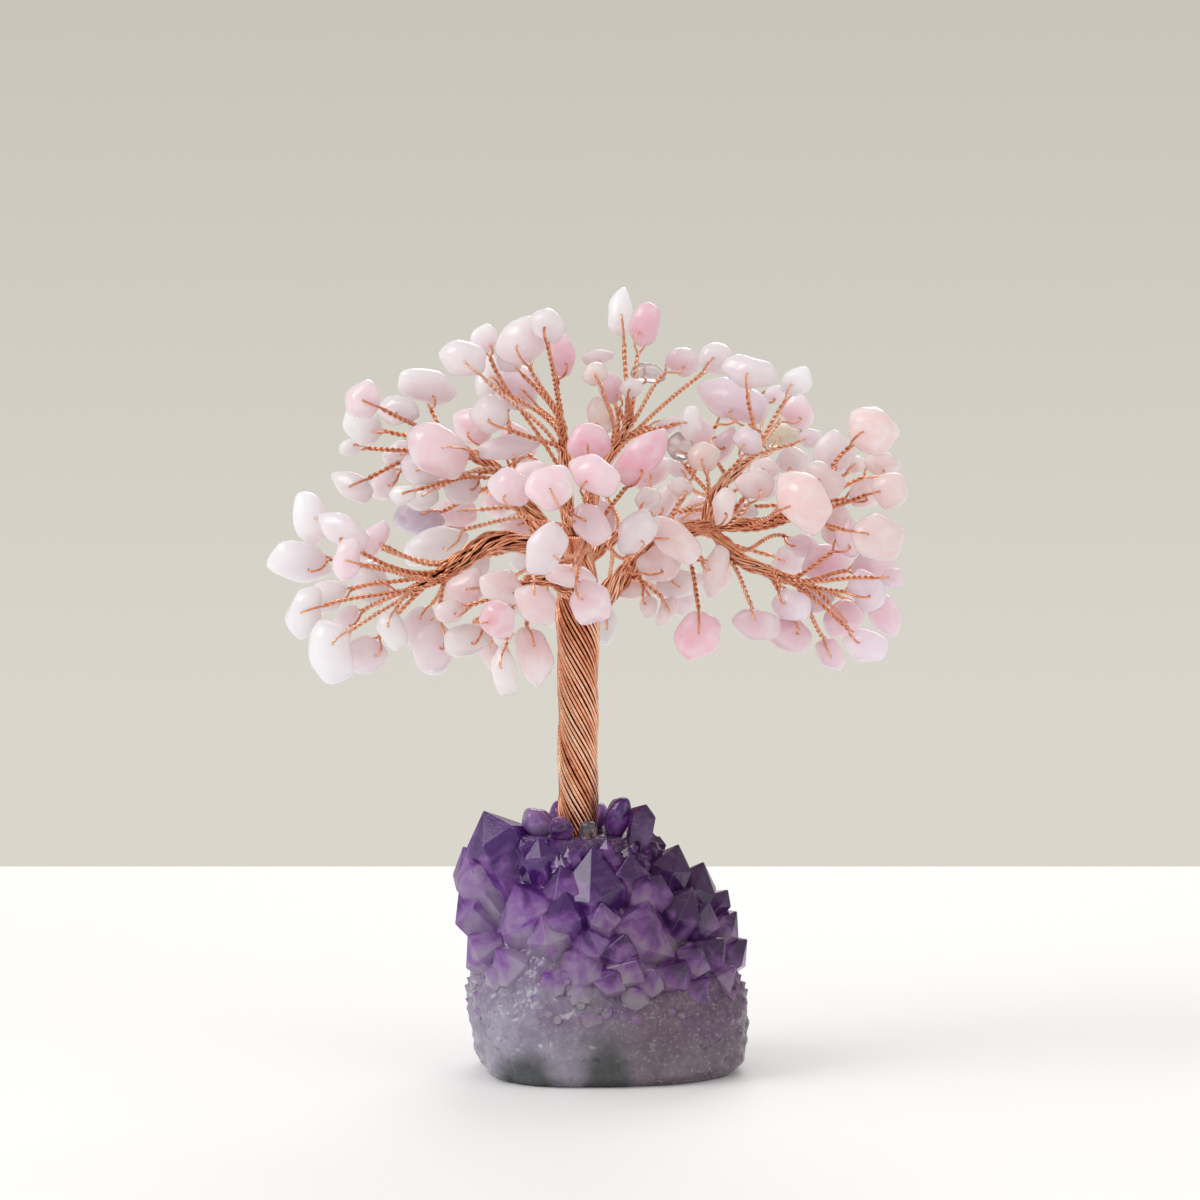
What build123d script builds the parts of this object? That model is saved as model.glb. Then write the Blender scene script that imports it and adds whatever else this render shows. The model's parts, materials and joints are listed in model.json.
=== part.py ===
"""Gemstone tree ornament: a tree of twisted copper wire whose twigs carry drilled quartz chips.

The trunk stands in a socket in the top of an amethyst cluster. Millimetres, Z up, the viewer at -Y.
The origin lies on the flat foot of the stone, under the trunk axis.
"""

from build123d import *

import os
from dataclasses import dataclass

import numpy as np

# Photograph, in pixels
CANOPY_LEFT_PX = 275
CANOPY_RIGHT_PX = 902
STONE_LEFT_PX = 444
STONE_RIGHT_PX = 753
STONE_TOP_PX = 831
TRUNK_COLUMN_PX = 578
FIRST_FORK_PX = 600
LEADER_PX = 535
GROUND_ROW_PX = 1071
CHIP_LENGTH_PX = 44
CHIP_WIDTH_PX = 31
VIEW_TILT = np.radians(8)

# Crown
CANOPY_WIDTH = 125.4
CHIP_LENGTH = 9.8
CHIP_WIDTH = 7.1
CHIP_THICKNESS = 4.4
BORE_RADIUS = 0.75
WIRE_RADIUS = 0.26
LEG_PITCH = 0.8
LOOP_REACH = 1.1
HOOK_GAP = 0.45
ROOT_PITCH = 1.5
SEAT_GAP = 0.05
CHIP_GAP = 0.5
TWIG_ROOM = 0.7
CUT_OVERRUN = 0.1
CHIP_SIDES = 5
CHIP_YAW = np.radians(30)
CHIP_PITCH = np.radians(24)

# Wire bundles
TRUNK_RADIUS = 4.0
LEADER_RADIUS = 2.6
LIMB_RADIUS = 2.4
BRANCH_RADIUS = 1.7
SPRAY_RADIUS = 1.3
STRAND_DEPTH = 0.4
LAY_PITCH = 47.0
FORK_GAP = 0.2
STRAND_COUNT = 12
TRUNK_BANDS = 18
ROPE_SIDES = 7
WIRE_SIDES = 3

# Stone
STONE_WIDTH = 62.0
STONE_DEPTH = 48.0
STONE_HEIGHT = 48.0
SOCKET_DEPTH = 8.0
SOCKET_RADIUS = 5.2
GLUE_GAP = 0.1
FOOT_CHIP_RADIUS = 2.8
FOOT_CHIP_HEIGHT = 5.0
BACK_CRYSTAL_RADIUS = 4.2
SOCKET_SIDES = 12
STONE_SIDES = 13

# Shares of the size that each one follows
CAP_SHARE = 0.56
CAP_SHIFT_SHARE = 0.04
HOLE_SHARE = 0.30
OUTLINE_SHARE = 0.12
ROOT_BACK_SHARE = 0.55
ROOT_START_SHARE = 0.22
FORK_TIP_SHARE = 0.35
END_TIP_SHARE = 0.5
BEND_SHARE = np.sin(np.radians(4))
STEEP_SHARE = 0.1
SINK_SHARE = 0.62
TWIG_PARTS_SHARE = (0.45, 0.6, 0.75, 0.9)
TIP_SHARE = 0.85
SHOULDER_SHARE = 0.22
BODY_SHARES = (
    (0.00, -0.29, 0.50, 0.45, 0.42),
    (0.05, -0.32, 0.535, 0.49, 0.46),
    (0.28, -0.36, 0.55, 0.50, 0.48),
    (0.42, -0.33, 0.50, 0.44, 0.43),
    (0.60, -0.26, 0.41, 0.34, 0.34),
    (0.85, -0.21, 0.29, 0.25, 0.27),
    (1.00, -0.185, 0.20, 0.215, 0.225),
)
CROWN_SHARES = (
    (0.30, -0.39, 0.57, 0.52, 0.50),
    (0.54, -0.40, 0.55, 0.48, 0.48),
    (0.80, -0.37, 0.45, 0.38, 0.42),
    (1.00, -0.28, 0.33, 0.27, 0.30),
    (1.10, -0.25, 0.30, 0.20, 0.22),
)
FOOT_CHIP_WAIST_SHARE = 0.45
FOCUS_SHARES = (0.08, 0.12)
BACK_ROOM_SHARE = 0.3
CRYSTAL_SWELL_SHARE = 1.12
SQUARE_SHARE = 0.8
FOOT_CHIP_LEAN_SHARE = 0.2
FOOT_CHIP_SHARES = (
    (195, 1.12, 1.0),
    (245, 1.0, 0.85),
    (286, 0.75, 0.7),
    (335, 1.0, 1.45),
    (20, 0.9, 1.2),
    (65, 1.0, 0.9),
    (110, 1.1, 1.0),
    (156, 0.75, 0.8),
)

# Crystal points: column, row, width across
CRYSTALS_PX = (
    (481, 811, 65),
    (459, 850, 50),
    (456, 893, 48),
    (536, 836, 38),
    (583, 849, 76),
    (632, 854, 34),
    (677, 845, 42),
    (707, 864, 46),
    (727, 890, 26),
    (739, 914, 34),
    (749, 943, 36),
    (655, 902, 72),
    (560, 889, 52),
    (590, 926, 40),
    (513, 886, 64),
    (603, 903, 34),
    (495, 951, 52),
    (577, 952, 46),
    (632, 955, 42),
    (466, 934, 48),
    (545, 973, 34),
    (612, 968, 36),
    (655, 970, 34),
    (684, 962, 38),
    (704, 949, 36),
    (722, 938, 40),
    (645, 803, 24),
    (655, 872, 44),
    (690, 888, 48),
    (712, 903, 40),
    (560, 866, 44),
    (541, 916, 44),
    (620, 932, 40),
    (487, 968, 32),
    (578, 984, 30),
    (640, 990, 32),
    (707, 980, 36),
    (738, 970, 38),
)

# Chips of each branch: column, row, length, width, tilt of the long axis and, for some, front distance
LEFT_LOW_PX = (
    (311, 518, 50, 32, -70),
    (345, 532, 54, 28, -20),
    (300, 562, 56, 42, -25),
    (348, 560, 42, 27, 80, 105),
    (375, 540, 42, 24, 55),
    (371, 583, 50, 37, -65),
    (306, 612, 56, 34, 85),
    (325, 598, 42, 34, 20),
    (333, 650, 60, 40, -80),
    (366, 656, 46, 36, -10),
    (346, 622, 36, 24, 70),
    (393, 630, 42, 28, -60),
    (434, 650, 58, 46, -70),
    (418, 625, 42, 30, 60),
)
LEFT_HIGH_PX = (
    (352, 486, 44, 25, -20),
    (383, 482, 38, 25, 75),
    (363, 400, 38, 34, 30),
    (362, 426, 42, 36, -40),
    (350, 446, 24, 17, 20),
    (398, 410, 42, 27, 10),
    (428, 386, 66, 33, -22),
    (437, 450, 62, 42, -45),
    (421, 470, 44, 32, -10),
    (396, 452, 30, 22, 40),
    (403, 495, 26, 18, 0),
    (462, 488, 42, 34, -60),
    (416, 518, 50, 33, 0),
    (424, 497, 33, 24, 20),
    (433, 545, 60, 36, 10),
)
TOP_LEFT_PX = (
    (463, 360, 48, 33, -20),
    (484, 340, 32, 24, 60),
    (487, 378, 44, 25, 80),
    (522, 340, 56, 46, 20),
    (511, 362, 28, 24, 0),
    (517, 386, 44, 38, -30),
    (491, 415, 38, 34, 10),
    (507, 447, 58, 25, 4),
    (548, 326, 36, 30, -40),
    (562, 356, 48, 25, -75),
)
TOP_PX = (
    (620, 311, 50, 28, 85),
    (645, 327, 52, 34, 70),
    (597, 357, 30, 17, 0),
    (595, 374, 28, 25, 0),
    (611, 390, 36, 27, -60),
    (648, 372, 36, 25, -20),
    (632, 388, 26, 19, 0),
    (682, 360, 44, 31, -35),
    (718, 356, 42, 38, 0),
    (600, 418, 38, 28, -70),
    (668, 425, 26, 18, 30),
    (690, 424, 36, 21, 80),
)
RIGHT_HIGH_PX = (
    (748, 372, 56, 32, -15),
    (735, 401, 82, 43, -8),
    (778, 393, 28, 22, 0),
    (796, 382, 38, 28, 20),
    (799, 412, 44, 35, -60),
    (784, 435, 42, 31, 15),
    (749, 441, 31, 27, 0),
    (725, 443, 42, 22, 70),
    (703, 457, 36, 31, -30),
    (680, 448, 30, 29, 0, 5),
    (680, 470, 28, 19, -30),
    (810, 438, 28, 20, 0),
)
RIGHT_PX = (
    (755, 485, 42, 30, 0),
    (763, 470, 30, 24, 0),
    (795, 463, 38, 31, 0, -50),
    (832, 456, 48, 39, -70),
    (822, 480, 40, 29, -50, 80),
    (802, 502, 62, 47, -30, 120),
    (836, 525, 52, 35, -70),
    (869, 430, 50, 42, -45),
    (881, 466, 40, 25, -10),
    (856, 465, 24, 19, 0),
    (887, 490, 42, 36, -50),
    (867, 493, 36, 31, 0),
    (874, 538, 52, 42, -30),
    (681, 488, 26, 19, 0),
    (664, 500, 42, 23, 80),
    (648, 500, 28, 24, 0),
    (723, 506, 42, 23, 88, 105),
    (742, 510, 28, 21, 0),
    (716, 570, 50, 23, 75),
    (680, 583, 48, 27, 12),
    (675, 540, 60, 31, -45, 120),
    (660, 565, 48, 37, 0, 75),
    (632, 588, 58, 21, 0),
    (648, 606, 24, 17, -70, 30),
    (667, 610, 36, 17, 65),
)
RIGHT_LOW_PX = (
    (847, 540, 42, 27, -70),
    (826, 563, 44, 37, 0),
    (803, 546, 32, 25, 0, -40),
    (876, 568, 44, 33, -30),
    (890, 578, 24, 19, 0),
    (866, 592, 48, 33, -50),
    (884, 612, 44, 34, -60),
    (790, 606, 42, 31, 0),
    (815, 600, 34, 29, 0),
    (756, 624, 46, 27, -15),
    (790, 635, 46, 34, -10),
    (831, 654, 36, 27, -60),
    (864, 645, 46, 29, -15),
    (843, 620, 46, 39, 0),
)
FRONT_PX = (
    (588, 444, 46, 44, 0),
    (596, 478, 52, 35, -15),
    (641, 458, 58, 37, 50),
    (592, 525, 42, 32, -60, 150),
    (637, 533, 48, 35, 55, 150),
    (570, 576, 42, 25, -8),
    (590, 603, 42, 39, 0),
    (547, 550, 56, 39, 75),
    (550, 488, 46, 41, 0),
    (512, 490, 44, 38, 0),
    (532, 475, 36, 28, 0),
)
FRONT_LEFT_PX = (
    (465, 590, 46, 33, 30, 60),
    (504, 588, 48, 31, -15),
    (536, 603, 44, 37, -50, 110),
    (499, 620, 42, 35, 0, 150),
    (466, 640, 44, 35, 0),
    (490, 650, 42, 19, -70, 40),
    (505, 638, 24, 15, 0, 90),
    (535, 657, 58, 35, -80),
    (506, 672, 46, 25, -80),
    (450, 612, 32, 26, 0),
)
BACK_LEFT_PX = (
    (440, 462, 48, 36, 30),
    (470, 425, 44, 32, -20),
    (500, 492, 50, 38, 70),
    (455, 512, 40, 30, 0),
    (517, 442, 46, 33, -50),
    (545, 492, 44, 36, 20),
    (500, 392, 42, 30, 80),
    (531, 562, 46, 32, -30),
    (470, 562, 44, 31, 60),
    (505, 606, 40, 30, 10),
    (545, 605, 44, 28, -70),
    (517, 525, 38, 28, 0),
)
BACK_RIGHT_PX = (
    (600, 450, 48, 38, -20),
    (652, 470, 44, 32, 40),
    (700, 442, 50, 34, -60),
    (742, 405, 44, 30, 10),
    (596, 520, 46, 34, 80),
    (650, 560, 48, 36, -10),
    (697, 512, 42, 30, 50),
    (760, 478, 46, 33, -40),
    (803, 502, 44, 31, 0),
    (717, 572, 42, 28, 70),
    (676, 596, 44, 30, -30),
    (606, 628, 36, 22, 80),
    (793, 562, 46, 32, 20),
)
PENDANT_PX = (698, 636, 48, 44, 90)


@dataclass
class Branch:
    """A wire bundle with its chips. Places are column, row and distance in front of the trunk, in pixels."""

    name: str
    parent: str
    fork_px: tuple
    way_px: tuple
    radii: tuple
    front_px: float
    spread_px: float
    chips_px: tuple


BRANCHES = (
    Branch(
        "left_low",
        "trunk",
        (578, 566, 0),
        ((530, 545, 12), (490, 543, 22), (440, 575, 30), (390, 600, 34)),
        (LIMB_RADIUS, SPRAY_RADIUS),
        35,
        55,
        LEFT_LOW_PX,
    ),
    Branch(
        "left_high",
        "trunk",
        (578, 545, 0),
        ((530, 510, -26), (490, 465, -40), (420, 430, -48)),
        (BRANCH_RADIUS, SPRAY_RADIUS),
        -45,
        55,
        LEFT_HIGH_PX,
    ),
    Branch(
        "top_left",
        "trunk",
        (578, 528, 0),
        ((566, 490, -8), (562, 425, -14), (556, 385, -16)),
        (BRANCH_RADIUS, SPRAY_RADIUS),
        -15,
        45,
        TOP_LEFT_PX,
    ),
    Branch(
        "top",
        "trunk",
        (578, 520, 0),
        ((600, 470, -14), (638, 412, -18), (650, 385, -20)),
        (BRANCH_RADIUS, SPRAY_RADIUS),
        -20,
        45,
        TOP_PX,
    ),
    Branch(
        "right",
        "trunk",
        (578, 600, 0),
        ((625, 575, 20), (660, 540, 34), (706, 527, 42), (770, 522, 40), (830, 495, 34)),
        (LIMB_RADIUS, SPRAY_RADIUS),
        45,
        60,
        RIGHT_PX,
    ),
    Branch(
        "right_high",
        "right",
        (706, 527, 42),
        ((722, 485, 12), (758, 450, -8), (765, 420, -14)),
        (BRANCH_RADIUS, SPRAY_RADIUS),
        -25,
        50,
        RIGHT_HIGH_PX,
    ),
    Branch(
        "right_low",
        "right",
        (716, 526, 42),
        ((740, 560, 52), (790, 580, 58), (835, 595, 58)),
        (BRANCH_RADIUS, SPRAY_RADIUS),
        55,
        50,
        RIGHT_LOW_PX,
    ),
    Branch(
        "front",
        "trunk",
        (578, 552, 0),
        ((588, 538, 44), (597, 520, 78), (604, 507, 104)),
        (BRANCH_RADIUS, SPRAY_RADIUS),
        140,
        45,
        FRONT_PX,
    ),
    Branch(
        "front_left",
        "trunk",
        (578, 588, 0),
        ((548, 580, 44), (520, 585, 70), (505, 612, 84)),
        (BRANCH_RADIUS, SPRAY_RADIUS),
        105,
        50,
        FRONT_LEFT_PX,
    ),
    Branch(
        "back_left",
        "trunk",
        (578, 570, 0),
        ((548, 545, -60), (520, 510, -105), (497, 488, -130)),
        (BRANCH_RADIUS, SPRAY_RADIUS),
        -150,
        45,
        BACK_LEFT_PX,
    ),
    Branch(
        "back_right",
        "trunk",
        (578, 560, 0),
        ((618, 535, -60), (665, 515, -105), (710, 495, -125)),
        (BRANCH_RADIUS, SPRAY_RADIUS),
        -150,
        45,
        BACK_RIGHT_PX,
    ),
)
FIXED_BRANCHES = ("top_left", "top")
SIDE_BRANCHES = {"right_high": "right", "right_low": "right"}
PENDANT_BRANCH = "right"
PENDANT_FRONT_PX = 92

PIXEL = CANOPY_WIDTH / (CANOPY_RIGHT_PX - CANOPY_LEFT_PX)
GOLDEN_SHARE = (np.sqrt(5) - 1) / 2
SILVER_SHARE = np.sqrt(2) - 1
ROUTE_SPOTS = 201
ROOT_TRIES = 60
ROOT_TURNS = np.radians((0, 35, -35, 70, -70))
TWIG_POINTS = 24
TWIG_LOOSE = 3
SETTLE_ROUNDS = 400
SETTLE_PASSES = 2
SETTLE_STEP = 0.6
ROPE_BALLS = 24


def jitter(index, salt):
    """A value from -1 to 1 that differs from one index and salt to the next."""
    return 2 * ((index * GOLDEN_SHARE + salt * SILVER_SHARE) % 1) - 1


def unit(vector):
    """The vector at length one."""
    return np.asarray(vector, float) / np.linalg.norm(vector)


def across(vector, axis):
    """The unit vector of what is left of a vector beside an axis."""
    return unit(vector - np.dot(vector, axis) * axis)


def circle_points(axis, angles):
    """Points of a unit circle square to an axis, at angles from its most level diameter."""
    upright = np.hypot(axis[0], axis[1]) < STEEP_SHARE * np.linalg.norm(axis)
    level = np.array((1.0, 0, 0)) if upright else unit(np.cross((0, 0, 1), axis))
    return np.outer(np.cos(angles), level) + np.outer(np.sin(angles), unit(np.cross(axis, level)))


def sight(places_px):
    """Column, row and front distance in pixels as width, picture height and front distance in mm."""
    column, row, front = np.asarray(places_px, float).T
    return np.stack((column - TRUNK_COLUMN_PX, GROUND_ROW_PX - row, front), axis=-1) * PIXEL


def world(seen):
    """Points given by width, picture height and front distance, in the object's frame."""
    wide, high, front = np.asarray(seen).T
    height = (high + front * np.sin(VIEW_TILT)) / np.cos(VIEW_TILT)
    return np.stack((wide, -front, height), axis=-1)


def from_photo(places_px):
    """Column, row and front distance in pixels as points in the object's frame."""
    return world(sight(places_px))


class Route:
    """A centre-line through points, with a radius at each one."""

    def __init__(self, points, radii):
        self.points = np.asarray(points, float)
        self.radii = np.asarray(radii, float)
        steps = np.linalg.norm(np.diff(self.points, axis=0), axis=1)
        self.stations = np.concatenate(([0], np.cumsum(steps)))
        self.length = self.stations[-1]
        self.root_limits = (ROOT_START_SHARE * self.length, self.stations[-2])
        spread = np.linspace(0, self.length, ROUTE_SPOTS)
        centres = np.stack([np.interp(spread, self.stations, axis) for axis in self.points.T], axis=-1)
        self.spots = (centres, np.interp(spread, self.stations, self.radii))

    def at(self, station):
        """The centre, the direction and the radius at a distance along the line."""
        centre = np.array([np.interp(station, self.stations, axis) for axis in self.points.T])
        span = np.clip(np.searchsorted(self.stations, station) - 1, 0, len(self.points) - 2)
        direction = unit(self.points[span + 1] - self.points[span])
        return centre, direction, np.interp(station, self.stations, self.radii)

    def nearest(self, place):
        """The station closest to a place."""
        closest = np.argmin(np.linalg.norm(self.spots[0] - place, axis=1))
        return self.length * closest / (ROUTE_SPOTS - 1)

    def rings(self, sides):
        """Polygons of the line's radius at each of its points, cut at the mitre between two runs.

        Each section is carried on by the smallest turn from one run to the next.
        """
        runs = np.diff(self.points, axis=0)
        runs /= np.linalg.norm(runs, axis=1, keepdims=True)
        angles = 2 * np.pi * np.arange(sides) / sides
        section = circle_points(runs[0], angles)
        rings = []
        for spot, (centre, radius) in enumerate(zip(self.points, self.radii)):
            before, after = runs[max(spot - 1, 0)], runs[min(spot, len(runs) - 1)]
            mitre = unit(before + after)
            slide = (section @ mitre) / np.dot(before, mitre)
            rings.append(centre + radius * (section - np.outer(slide, before)))
            section = section - np.outer(section @ after / (1 + np.dot(before, after)), before + after)
        return rings


def trunk_route():
    """The trunk from its socket to the leaders, straight up and thinner above the first forks."""
    foot = STONE_HEIGHT - SOCKET_DEPTH + GLUE_GAP
    first, last = from_photo(((TRUNK_COLUMN_PX, FIRST_FORK_PX, 0), (TRUNK_COLUMN_PX, LEADER_PX, 0)))[:, 2]
    points = ((0, 0, foot), (0, 0, first), (0, 0, last))
    return Route(points, (TRUNK_RADIUS, TRUNK_RADIUS, LEADER_RADIUS))


def branch_route(branch, parent):
    """A bundle from its parent's side, or from the trunk's top, through its way points, with narrow ends."""
    way = from_photo(branch.way_px)
    start_radius, end_radius = branch.radii
    tip_radius = FORK_TIP_SHARE * start_radius
    centre, axis, parent_radius = parent.at(parent.nearest(from_photo((branch.fork_px,))[0]))
    outward = across(way[0] - centre, axis)
    if branch.name in FIXED_BRANCHES:
        start = parent.points[-1] + FORK_GAP * axis + (parent_radius - tip_radius) * outward
        start = start + tip_radius * axis
    else:
        slope = abs(np.dot(unit(way[0] - centre), axis))
        start = centre + (parent_radius + FORK_GAP + tip_radius * slope) * outward
    shoulder = start + start_radius * unit(way[0] - start)
    tip = way[-1] + end_radius * unit(way[-1] - way[-2])
    radii = np.linspace(start_radius, end_radius, len(way) + 1)
    return Route((start, shoulder, *way, tip), (tip_radius, *radii, END_TIP_SHARE * end_radius))


@dataclass
class Chip:
    """A drilled chip: its centre, its frame, its half sizes and the outline of its rim."""

    centre: np.ndarray
    long_axis: np.ndarray
    wide_axis: np.ndarray
    bore_axis: np.ndarray
    half_sizes: np.ndarray
    rim: np.ndarray
    shift: np.ndarray
    inward: np.ndarray | None = None

    def corners(self):
        """Points of the rim and of the two smaller faces, which lie a little off centre."""
        faces = []
        for side, scale in ((-1, CAP_SHARE), (0, 1), (1, CAP_SHARE)):
            flat = scale * self.rim + side * self.shift
            lift = side * self.half_sizes[2] * self.bore_axis
            faces.append(self.centre + np.outer(flat[:, 0], self.long_axis) + lift)
            faces[-1] += np.outer(flat[:, 1], self.wide_axis)
        return np.concatenate(faces)

    def edge(self, direction):
        """The distance from the centre to the rim in a direction of the chip's middle plane."""
        ray = np.array((np.dot(direction, self.long_axis), np.dot(direction, self.wide_axis)))
        near, far = self.rim, np.roll(self.rim, -1, axis=0)
        normals = np.stack((far[:, 1] - near[:, 1], near[:, 0] - far[:, 0]), axis=-1)
        crossed = normals @ ray > 0
        return (np.sum(normals * near, axis=1)[crossed] / (normals @ ray)[crossed]).min()

    def towards(self, root):
        """The direction in the chip's middle plane in which its wire comes off the rim."""
        return across(root - self.centre, self.bore_axis) if self.inward is None else self.inward

    def gather(self, root):
        """Where the two legs of the wire come together beyond the rim."""
        inward = self.towards(root)
        return self.centre + (self.edge(inward) + LOOP_REACH) * inward

    def nearness(self, points):
        """How many times the chip's size points lie from its centre, with room for its hook."""
        axes = np.stack((self.long_axis, self.wide_axis, self.bore_axis))
        room = self.half_sizes * (1 + OUTLINE_SHARE) + (TWIG_ROOM, TWIG_ROOM, TWIG_ROOM + CHIP_GAP)
        return np.linalg.norm((points - self.centre) @ axes.T / room, axis=-1)


def chip_sizes(chip_px):
    """Length, width and thickness of a chip from its length and width in the photograph."""
    length = CHIP_LENGTH * chip_px[2] / CHIP_LENGTH_PX
    width = CHIP_WIDTH * chip_px[3] / CHIP_WIDTH_PX
    return length, width, CHIP_THICKNESS * np.sqrt(length * width / CHIP_LENGTH / CHIP_WIDTH)


def make_chip(centre, chip_px, index, turn=1, inward=None):
    """A five-sided chip whose long axis follows the photograph and whose face turns a little at random."""
    length, width, thickness = chip_sizes(chip_px)
    yaw, pitch = CHIP_YAW * turn * jitter(index, 1), CHIP_PITCH * turn * jitter(index, 2)
    bore_axis = unit(np.array((np.sin(yaw), -np.cos(yaw) * np.cos(pitch), np.sin(pitch))))
    tilt = np.radians(chip_px[4])
    long_axis = across(np.array((np.cos(tilt), 0, np.sin(tilt))), bore_axis)
    angles = 2 * np.pi * (np.arange(CHIP_SIDES) + jitter(index, 3) / 2) / CHIP_SIDES
    radii = 1 + OUTLINE_SHARE * np.array([jitter(index + 7 * side, 4) for side in range(CHIP_SIDES)])
    rim = radii[:, None] * np.stack((length / 2 * np.cos(angles), width / 2 * np.sin(angles)), axis=-1)
    shift = CAP_SHIFT_SHARE * width * np.array((jitter(index, 5), jitter(index, 6)))
    half_sizes = np.array((length, width, thickness)) / 2
    wide_axis = np.cross(bore_axis, long_axis)
    return Chip(centre, long_axis, wide_axis, bore_axis, half_sizes, rim, shift, inward)


def root_station(route, place):
    """Where a twig leaves its bundle: before the closest point, so that it points outwards."""
    closest = route.nearest(place)
    distance = np.linalg.norm(route.at(closest)[0] - place)
    return np.clip(closest - ROOT_BACK_SHARE * distance, *route.root_limits)


def root_at(route, station, place, turn=0):
    """A root on the bundle's surface at a station, on the side of a place, and its outward direction."""
    centre, axis, radius = route.at(station)
    facing = across(place - centre, axis)
    outward = np.cos(turn) * facing + np.sin(turn) * np.cross(axis, facing)
    return centre + (radius + WIRE_RADIUS + SEAT_GAP) * outward, outward


def free_room(twig, number, route, chips, twigs):
    """The least room between a twig's points and the bundle, the other chips and the other twigs."""
    centres, radii = route.spots
    loose = twig[TWIG_LOOSE:]
    rooms = [(np.linalg.norm(loose[:, None] - centres, axis=2) - radii).min() - WIRE_RADIUS]
    for other in twigs.values():
        rooms.append(np.linalg.norm(twig[0] - other[0]) - ROOT_PITCH)
        gaps = np.linalg.norm(loose[:, None] - other[None, TWIG_LOOSE:], axis=2)
        rooms.append(gaps.min() - LEG_PITCH - 2 * WIRE_RADIUS - SEAT_GAP)
    for index, chip in enumerate(chips):
        if index != number:
            rooms.append((chip.nearness(twig).min() - 1) * chip.half_sizes[2])
    return min(rooms)


def place_roots(route, chips):
    """A root on the bundle's surface for each chip's twig, clear of the other twigs and chips.

    Twigs that leave first along the bundle are placed first, so that later ones don't cross them.
    Each tries places along and round the bundle from the one that it wants, and keeps the roomiest.
    """
    wanted = [root_station(route, chip.centre) for chip in chips]
    steps = np.linspace(0, 1, TWIG_POINTS)[:, None]
    roots, twigs = {}, {}
    for number in np.argsort(wanted):
        chip = chips[number]
        most = -np.inf
        for attempt, turn in np.ndindex(ROOT_TRIES, len(ROOT_TURNS)):
            side = (-1) ** attempt * ((attempt + 1) // 2)
            station = np.clip(wanted[number] + side * ROOT_PITCH / 3, *route.root_limits)
            root = root_at(route, station, chip.centre, ROOT_TURNS[turn])
            twig = root[0] + steps * (chip.gather(root[0]) - root[0])
            room = free_room(twig, number, route, chips, twigs)
            if room > most:
                most, best_root, best_twig = room, root, twig
            if room > 0:
                break
        roots[number], twigs[number] = best_root, best_twig
    return [roots[number] for number in range(len(chips))]


def loop_points(chip, root, outward):
    """A wire from its root round the rim, through the hole and back beside itself.

    The hook stands clear of the small face's edge: its height there is read off the straight leg
    between the rim and the hole.
    """
    inward = chip.towards(root)
    edge = chip.edge(inward)
    hole = chip.centre + HOLE_SHARE * edge * inward
    gather = edge + LOOP_REACH
    crest = CAP_SHARE * edge + np.linalg.norm(chip.shift)
    rise = chip.half_sizes[2] + WIRE_RADIUS + HOOK_GAP - LEG_PITCH / 2
    hook = LEG_PITCH / 2 + rise * (gather - HOLE_SHARE * edge) / (gather - crest)
    joint = chip.gather(root)
    side = across(chip.bore_axis, unit(root - joint))
    foot_side = across(side, outward)
    return (
        root + LEG_PITCH / 2 * foot_side,
        joint + LEG_PITCH / 2 * side,
        hole + hook * chip.bore_axis,
        hole - hook * chip.bore_axis,
        joint - LEG_PITCH / 2 * side,
        root - LEG_PITCH / 2 * foot_side,
    )


def balls_of(chips, roots):
    """Balls that stand for chips and twigs: places, chip numbers, shares of a chip's move, radii, depths."""
    order = np.arange(len(chips.seen))
    half_gap = CHIP_GAP / 2
    rows = []
    for step in (-1, 0, 1):
        rows.append((chips.seen + step * chips.along, order, 1.0, chips.width / 2 + half_gap))
        rows[-1] += (chips.thickness / 2 + CHIP_GAP + HOOK_GAP,)
    for part in TWIG_PARTS_SHARE:
        room = np.full(len(order), TWIG_ROOM)
        rows.append((roots + part * (chips.seen - roots), order, part, room, room))
    places, numbers, shares, wide, deep = zip(*rows)
    shares = np.repeat(shares, len(order))
    joined = [np.concatenate(column) for column in (places, numbers, wide, deep)]
    return joined[0], joined[1], shares, joined[2], joined[3]


def rope_balls(branches, routes):
    """Rows of fixed balls along the trunk and the bundles: places, branch numbers and radii."""
    places, numbers, radii = [], [], []
    for number, name in enumerate(("trunk", *(branch.name for branch in branches))):
        stations = np.linspace(0, routes[name].length, ROPE_BALLS)
        spots = [routes[name].at(station) for station in stations]
        places.append(look_back(np.array([spot[0] for spot in spots])))
        numbers.append(np.full(ROPE_BALLS, number - 1))
        radii.append(np.array([spot[2] for spot in spots]) + CHIP_GAP)
    return np.concatenate(places), np.concatenate(numbers), np.concatenate(radii)


def bend_travel(places, branch_of, branches, routes, whole):
    """How far each place may rise when its branch is bent, with its parent's bend too where whole is set."""
    names = [branch.name for branch in branches]
    travel = np.zeros(len(places))
    for number, branch in enumerate(branches):
        mine = branch_of == number
        chain = [branch.name, branch.parent] if whole else [branch.name]
        for name in chain:
            if name in names and name not in FIXED_BRANCHES:
                hinge = look_back(routes[name].points[:1])
                travel[mine] += BEND_SHARE * np.linalg.norm(places[mine] - hinge, axis=1)
    return travel


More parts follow.
